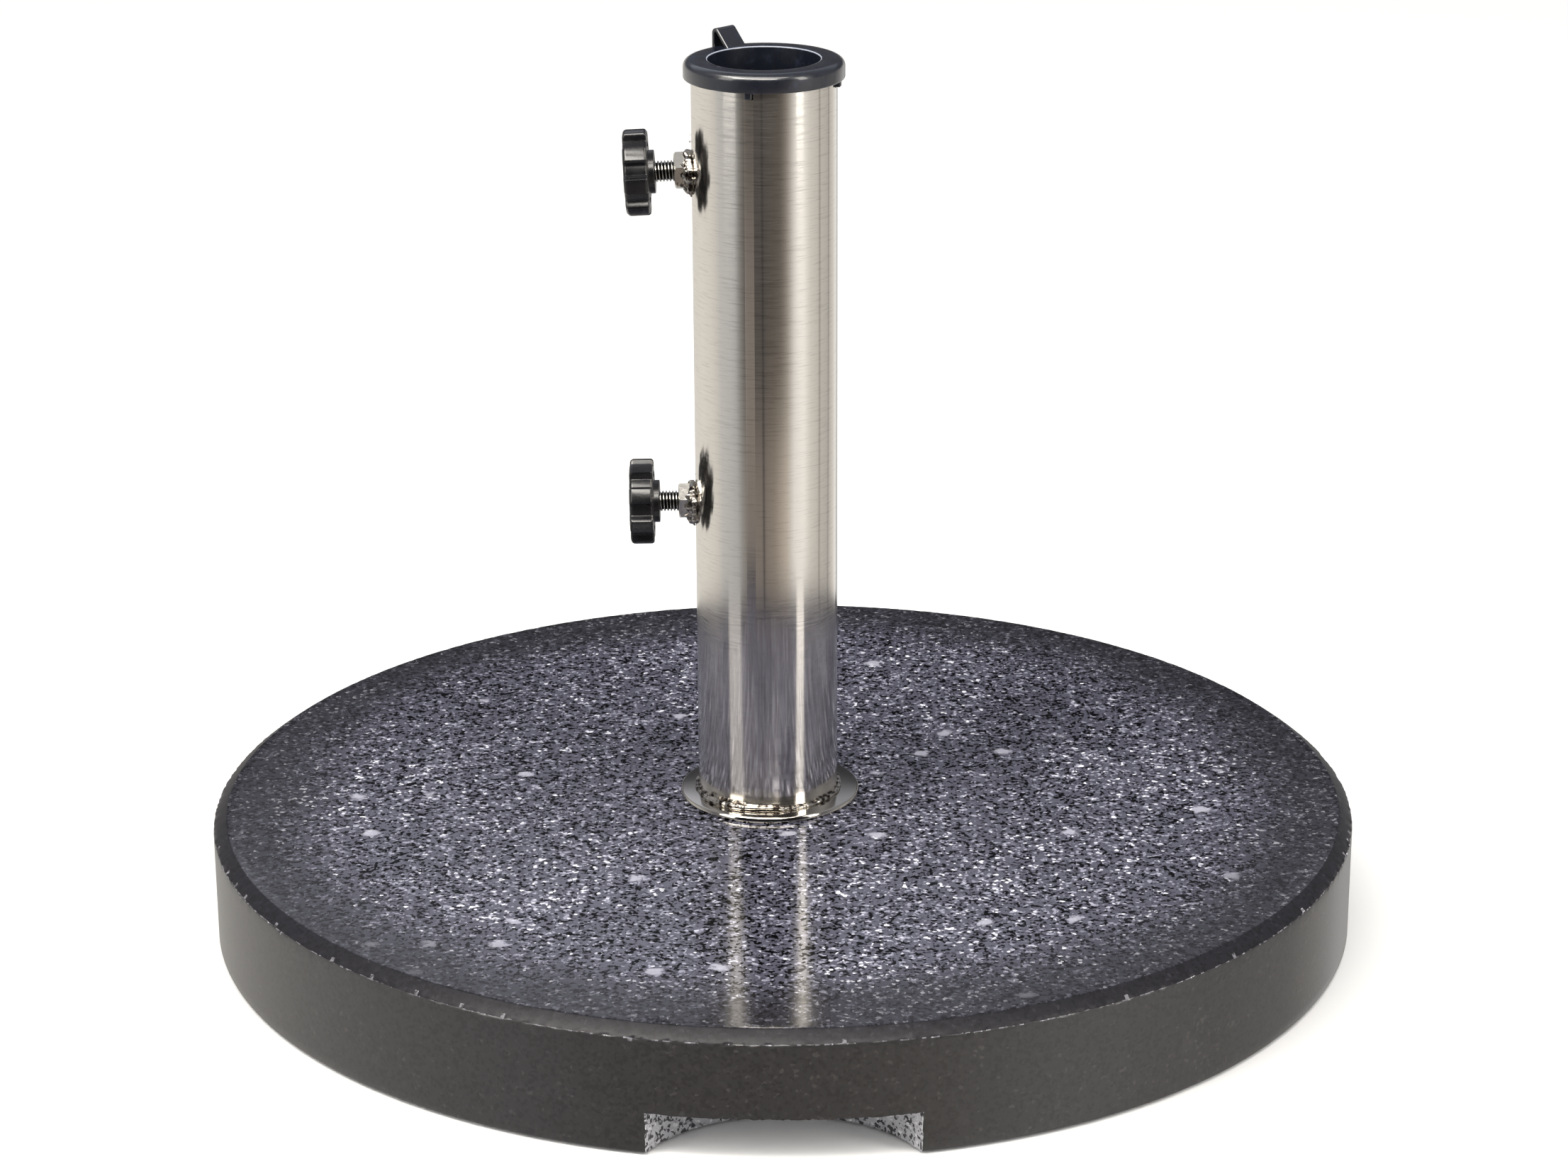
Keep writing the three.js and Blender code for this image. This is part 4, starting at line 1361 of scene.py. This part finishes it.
@dataclass
class ClampScrew:
    """One hand screw: welded nut, bead, threaded bolt, star knob, cap and pressure tip.

    Heights in the fields run outwards along the screw's axis from the tube's wall.
    """

    side: str
    finishes: Finishes
    hinge: dict[str, object]  # the screw's turning joint, as the frame gives it
    knob_turn: float
    seed: int
    tube_radius: float = 27.5
    pitch: float = 1.25
    thread_radius: float = 4.0
    nut_flats: float = 13.0
    nut_out: float = 6.5
    nut_turn: float = 20.0
    boss_in: float = 13.8
    boss_radius: float = 8.2
    knob_in: float = 16.1
    knob_out: float = 25.2
    knob_radius: float = 16.5
    valley_depth: float = 2.5

    def __post_init__(self) -> None:
        """Reads the screw's axis from its hinge in the frame."""
        outward = -Vector(self.hinge["axis"]).normalized()
        up = (Vector((0, 0, 1)) - outward * outward.z).normalized()
        side = outward.cross(up)
        place = Matrix((up, side, outward)).transposed().to_4x4()
        place.translation = Vector(self.hinge["pos_m"]) / MM
        self.place = place

    def wall(self, x: float, y: float) -> Vector:
        """The point on the tube's wall beside the screw, at local x and y."""
        return Vector((x, y, math.sqrt(self.tube_radius**2 - y * y) - self.tube_radius))

    def build_nut(self) -> bpy.types.Object:
        """Builds the welded nut."""
        mesh = hex_body(self.nut_flats, 0.2, self.nut_out, self.thread_radius + 0.1)
        nut = crisp(new_object(f"{self.side}_weld_nut", mesh, self.finishes.nut))
        return put(nut, self.place @ Matrix.Rotation(math.radians(self.nut_turn + 30), 4, "Z"))

    def build_weld(self, beads: GeometryTree, spatter: GeometryTree) -> bpy.types.Object:
        """Builds the bead that holds the nut, its drips and the spatter round it."""
        weld = self.finishes.weld
        settings = {"Ripple_Pitch": 3.4 * MM, "Ripple": 0.06, "Lump_Size": 3.6 * MM,
                    "Material": weld}
        path = []
        for i in range(72):
            angle = 2 * math.pi * i / 72
            reach = 6.8 - 0.7 * math.cos(angle) + 0.3 * math.sin(5 * angle + self.seed)
            path.append(self.wall(reach * math.cos(angle), reach * math.sin(angle))
                        + Vector((0, 0, 1.3)))
        parts = [beads.grow("bead", closed_curve("path", path), Radius=1.6 * MM, Lumpiness=0.75,
                            Taper=0.0, Seed=float(self.seed), Points=260, **settings)]
        # Runs that pulled down the nut's front flats, and a drip that hangs below it.
        runs = (((0.5, -6.6, 3.6), (-5.2, -5.6, 1.0)), ((3.8, -5.6, 3.4), (-0.5, -7.6, 1.2)),
                ((-3.4, -5.4, 4.2), (-8.2, -2.6, 1.0)), ((-6.6, -0.6, 2.6), (-10.2, 0.2, 0.4)))
        for k, (top, foot) in enumerate(runs):
            start = self.wall(top[0], top[1]) + Vector((0, 0, top[2]))
            stop = self.wall(foot[0], foot[1]) + Vector((0, 0, foot[2]))
            line = [start.lerp(stop, t) for t in (0, 0.25, 0.5, 0.75, 1)]
            parts.append(beads.grow("run", closed_curve("path", line, cyclic=False),
                                    Radius=(1.45 - 0.1 * k) * MM, Lumpiness=0.5, Taper=0.6,
                                    Seed=float(self.seed + k), Points=40, **settings))
        rings = [[self.wall(r * math.cos(a), r * math.sin(a))
                  for a in (2 * math.pi * i / 48 for i in range(48))] for r in (13.5, 10.5, 8)]
        patch = new_object("patch", loft(rings))
        parts.append(spatter.grow("spatter", patch, Density=0.03 / MM**2, Largest=0.4 * MM,
                                  Seed=self.seed, Material=weld))
        return put(merged(f"{self.side}_weld_bead", parts), self.place)

    def build_bolt(self, threads: GeometryTree) -> bpy.types.Object:
        """Builds the M8 screw with its rolled thread, its nose and its pressed-in head."""
        zinc = self.finishes.zinc
        start, stop = -4.0, 18.8
        shank = threads.grow(
            "shank", new_object("host", bpy.data.meshes.new("host")),
            Radius=self.thread_radius * MM, Depth=0.77 * MM, Pitch=self.pitch * MM,
            Start=start * MM, Length=(stop - start) * MM, Columns=73, Rows=420,
            Material=self.finishes.thread)
        nose = new_object("nose", turned(filleted(
            [(0, -5.6, 0), (2, -5.6, 0.3), (2, start + 0.5, 0), (0, start + 0.5, 0)], 3), 48), zinc)
        head = put(new_object("head", hex_body(self.nut_flats, 18.6, 23.9), zinc),
                   Matrix.Rotation(math.pi / 6, 4, "Z"))
        bolt = merged(f"{self.side}_screw", [crisp(head), crisp(nose), shank])
        return put(bolt, self.place @ self.spin())

    def spin(self) -> Matrix:
        """The turn that brings one lobe to its place on the knob."""
        return Matrix.Rotation(math.radians(self.knob_turn - 90), 4, "Z")

    def build_knob(self, lobes: GeometryTree) -> bpy.types.Object:
        """Builds the star knob with its boss and the recess that its cap fills."""
        r, low, high = self.knob_radius, self.knob_in, self.knob_out
        corners = [
            (4.4, self.boss_in, 0.2), (self.boss_radius, self.boss_in, 0.35),
            (self.boss_radius, low, 0.25), (9.6, low, 0.2), (9.9, low + 0.9, 0.3),
            (11.6, low + 0.9, 0.3), (11.9, low, 0.2), (r, low, 1.1), (r, high, 1.6),
            (9.9, high, 0.5), (9.3, high - 0.5, 0.3), (8.6, high - 0.5, 0.2),
            (8.6, high - 1.6, 0.1), (4.4, high - 1.6, 0.1)]
        outline = filleted(corners, 5, closed=True)
        host = new_object("host", turned(outline, 384, closed=True))
        knob = lobes.grow(f"{self.side}_knob", host, Lobes=8.0, Depth=self.valley_depth * MM,
                          Core_Radius=11.0 * MM, Rim_Radius=r * MM, Material=self.finishes.knob)
        return crisp(put(knob, self.place @ self.spin()), 34)

    def build_cap(self) -> bpy.types.Object:
        """Builds the cap that covers the screw's head."""
        top = self.knob_out
        corners = [(0, top - 1.5, 0), (8.35, top - 1.5, 0.2), (8.35, top - 0.25, 0.5),
                   (5.0, top - 0.02, 1.5), (0, top, 0)]
        cap = turned(filleted(corners, 5), 128)
        piece = new_object(f"{self.side}_cover_cap", cap, self.finishes.knob)
        return crisp(put(piece, self.place))

    def build_tip(self) -> bpy.types.Object:
        """Builds the nylon tip that presses on the pole."""
        corners = [(0, -6.5, 0), (3.7, -6.5, 0.7), (3.7, -4.3, 0.25), (2.3, -4.3, 0.1),
                   (2.3, -5.7, 0.1), (0, -5.7, 0)]
        tip = turned(filleted(corners, 4), 72)
        return crisp(put(new_object(f"{self.side}_tip_pad", tip, self.finishes.tip), self.place))

    def build(self, beads: GeometryTree, spatter: GeometryTree, threads: GeometryTree,
              lobes: GeometryTree) -> None:
        """Builds and fits every piece of the screw."""
        turning = f"{self.side}_screw"
        fit(self.build_nut(), Placing("base", f"{self.side}_clamp_nut", "weld_nut_steel"))
        fit(self.build_weld(beads, spatter),
            Placing("base", f"{self.side}_nut_weld", "weld_bead"))
        fit(self.build_bolt(threads), Placing(turning, f"{self.side}_clamp_bolt", "zinc_steel"))
        fit(self.build_knob(lobes), Placing(turning, f"{self.side}_star_knob", "knob_plastic"))
        fit(self.build_cap(), Placing(turning, f"{self.side}_knob_cap", "knob_plastic"))
        fit(self.build_tip(),
            Placing(f"{self.side}_tip", f"{self.side}_pressure_tip", "tip_nylon"))


# ---------------------------------------------------------------- studio


# What a mirror at the object sees of the room, by bearing in degrees: 0 is the camera's side,
# positive is to its right. Pale walls stand left and right, with seams between their panels.
LOW_ROOM = (
    (-180, "a8a6a2"), (-165, "cecbc4"), (-120, "d6d2cc"), (-96, "cfccc6"), (-84, "c6c3be"),
    (-76, "bab9b7"), (-48, "a6a6a7"), (-40, "8f8d8a"), (-30, "7a736d"), (-6, "7a726c"),
    (-4, "2c2826"), (-2, "7a726c"), (14, "8d8378"), (34, "bcb3a8"), (46, "e0ddd9"),
    (64, "e8e5e0"), (76, "cdc9c3"), (94, "bab6b0"), (96, "6f6b67"), (98, "bab6b0"),
    (118, "adaaa6"), (120, "6b6864"), (122, "b4b0ab"), (136, "cbc7c2"), (150, "e4e3e0"),
    (168, "a3a2a1"), (180, "a8a6a2"),
)
# The same above eye level: dark flags in front and behind, paler walls at the sides.
HIGH_ROOM = (
    (-180, "3c3c40"), (-140, "6c6c70"), (-100, "b4b4b6"), (-74, "77777b"), (-40, "1e1e22"),
    (40, "1e1e22"), (74, "77777b"), (100, "a4a4a6"), (140, "5c5c60"), (180, "3c3c40"),
)


def ramp_stops(room: Sequence[tuple[float, str]]) -> list[tuple[float, str]]:
    """Turns bearings of -180 to 180 degrees into ramp positions of 0 to 1."""
    return [(bearing / 360 + 0.5, shade) for bearing, shade in room]


@dataclass
class Studio:
    """A plain pale floor, soft light and the camera."""

    lens: float = 93.8  # on a sensor 36 mm wide
    elevation: float = 20.48
    roll: float = -0.245
    camera_m: tuple[float, float, float] = (0.0007, -1.5069, 0.6638)
    shift: float = 0.0512
    floor_m: float = 40.0

    def build_camera(self) -> None:
        """Places the camera at eye level in front of the object."""
        tip, roll = math.radians(self.elevation), math.radians(self.roll)
        forward = Vector((0, math.cos(tip), -math.sin(tip)))
        right = Vector((1, 0, 0))
        up = right.cross(forward)
        turned_right = right * math.cos(roll) + up * math.sin(roll)
        turned_up = up * math.cos(roll) - right * math.sin(roll)
        data = bpy.data.cameras.new("camera")
        data.lens = self.lens
        data.sensor_width = 36.0
        data.shift_y = self.shift
        data.clip_end = 200.0
        camera = bpy.data.objects.new("camera", data)
        pose = Matrix((turned_right, turned_up, -forward)).transposed().to_4x4()
        pose.translation = self.camera_m
        camera.matrix_world = pose
        bpy.context.scene.collection.objects.link(camera)
        bpy.context.scene.camera = camera

    def build_floor(self) -> None:
        """Lays the pale floor."""
        half = self.floor_m / 2
        mesh = bpy.data.meshes.new("floor")
        mesh.from_pydata([(-half, -half, 0), (half, -half, 0), (half, half, 0),
                          (-half, half, 0)], [], [(0, 1, 2, 3)])
        material, tree = blank_material("Paper sweep, matte")
        finish_shader(tree, {"Base Color": linear("f4f4f3"), "Roughness": 0.9,
                             "Specular IOR Level": 0.1})
        floor = new_object("floor", mesh, material)
        floor.visible_glossy = False  # the studio's own reflections stand in for it

    def build_light(self, name: str, place: Vector, aim: Vector, size: Point2,
                    watts: float, matte: bool = True) -> None:
        """Hangs one soft rectangular light.

        Args:
            name: the light's name.
            place: where it hangs, in metres.
            aim: the point it looks at, in metres.
            size: its width and height in metres.
            watts: its power.
            matte: whether it lights matte surfaces too, or only shows in glossy ones.
        """
        data = bpy.data.lights.new(name, "AREA")
        data.shape = "RECTANGLE"
        data.size, data.size_y = size
        data.energy = watts
        data.color = linear("fffaf2")[:3]
        lamp = bpy.data.objects.new(name, data)
        lamp.location = place
        lamp.visible_diffuse = matte
        lamp.rotation_euler = (aim - place).to_track_quat("-Z", "Y").to_euler()
        bpy.context.scene.collection.objects.link(lamp)

    def build_world(self) -> None:
        """Surrounds the object with white, and with strip lights and flags in reflections."""
        world = bpy.data.worlds.new("studio")
        world.use_nodes = True
        tree = world.node_tree
        tree.nodes.clear()
        way = add_node(tree, "ShaderNodeTexCoord").outputs["Generated"]
        part = add_node(tree, "ShaderNodeSeparateXYZ", {0: way})
        east, north, up = (part.outputs[i] for i in range(3))
        bearing = add_node(tree, Step.ARCTAN2, (
            east, add_node(tree, Step.MULTIPLY, (north, -1.0))
        ))
        share = add_node(tree, Step.MULTIPLY_ADD, (bearing, 1 / (2 * math.pi), 0.5))
        low_room = add_node(tree, "ShaderNodeValToRGB", {0: share}, stops=ramp_stops(LOW_ROOM))
        high_room = add_node(tree, "ShaderNodeValToRGB", {0: share}, stops=ramp_stops(HIGH_ROOM))
        # The camera side gets darker towards the horizon.
        ahead = add_node(tree, Step.ABSOLUTE, (bearing,))
        front = add_node(tree, Step.SUBTRACT, (
            1.0, add_node(tree, Step.SMOOTH, (ahead, 0.35, 1.0))
        ))
        dusk = add_node(tree, Step.MULTIPLY, (
            add_node(tree, Step.SMOOTH, (up, -0.287, -0.258)), front
        ))
        low = add_node(tree, Step.MIX, {
            0: add_node(tree, Step.MULTIPLY, (dusk, 0.76)), 6: low_room, 7: linear("1e1d1e")
        })
        low = add_node(
            tree, Step.MIX, {0: 1.0, 6: low, 7: (1.2, 1.2, 1.2, 1.0)}, blend_type="MULTIPLY"
        )
        above = add_node(tree, Step.SMOOTH, (up, 0.02, 0.14))
        overhead = add_node(tree, Step.SMOOTH, (up, 0.62, 0.8))
        # The back wall brightens upwards and to the left, which lifts the near left half of the
        # polished stone.
        left = add_node(tree, Step.MULTIPLY_ADD, (
            add_node(tree, Step.SMOOTH, (east, 0.1, -0.08)), 0.5, 0.5
        ))
        height = add_node(tree, Step.MULTIPLY, (
            add_node(tree, Step.SMOOTH, (up, 0.35, 0.43)), left
        ))
        behind = add_node(tree, Step.MULTIPLY, (
            add_node(tree, Step.SMOOTH, (ahead, 1.9, 2.6)), height
        ))
        high = add_node(tree, Step.MIX, {0: behind, 6: high_room, 7: linear("d6d8e2")})
        reflected = add_node(tree, Step.MIX, {0: above, 6: low, 7: high})
        reflected = add_node(tree, Step.MIX, {
            0: overhead, 6: reflected, 7: (0.35, 0.35, 0.36, 1.0)
        })
        rays = add_node(tree, "ShaderNodeLightPath").outputs
        ambient = add_node(tree, Step.MIX, {
            0: add_node(tree, Step.SMOOTH, (up, -0.2, 1.0)), 6: linear("c9c9cb"),
            7: linear("ffffff")
        })
        seen = add_node(tree, Step.MIX, {0: rays["Is Glossy Ray"], 6: ambient, 7: reflected})
        seen = add_node(tree, Step.MIX, {
            0: rays["Is Camera Ray"], 6: seen, 7: (1.0, 1.0, 1.0, 1.0)
        })
        light = add_node(tree, "ShaderNodeBackground", {"Color": seen, "Strength": 1.0})
        add_node(tree, "ShaderNodeOutputWorld", {"Surface": light})
        bpy.context.scene.world = world

    def build(self) -> None:
        """Builds the whole studio."""
        self.build_camera()
        self.build_floor()
        self.build_world()
        target = Vector((0, 0, 0.15))
        collar = Vector((0, 0, 0.34))
        self.build_light("overhead", Vector((-0.2, -0.75, 2.1)), target, (2.4, 0.3), 26)
        self.build_light("rim", Vector((-0.35, -1.3, 1.7)), collar, (2.0, 0.6), 55, matte=False)
        self.build_light("key", Vector((-1.0, -0.6, 1.65)), collar, (0.9, 0.4), 12)
        self.build_light("front_left", Vector((-1.7, -1.15, 1.2)), target, (0.85, 1.4), 14.5)
        self.build_light("front_right", Vector((1.7, -1.1, 1.2)), target, (0.5, 1.4), 19)
        bpy.context.scene.view_settings.view_transform = "Standard"


def main() -> None:
    """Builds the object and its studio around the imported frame."""
    logging.basicConfig(level=logging.INFO, format="%(message)s")
    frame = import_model()
    hinges = {joint["name"]: joint for joint in frame["joints"]}
    finishes = Finishes()
    beads, spatter, threads, lobes = bead_tree(), spatter_tree(), thread_tree(), lobe_tree()
    StoneDisc(finishes, relief_tree()).build()
    Mast(finishes).build(beads, threads)
    Collar(finishes).build()
    for side, turn, seed in (("upper", 39.0, 3), ("lower", 25.0, 8)):
        hinge = hinges[f"{side}_screw_turn"]
        ClampScrew(side, finishes, hinge, turn, seed).build(beads, spatter, threads, lobes)
    Studio().build()


if __name__ == "__main__":
    main()
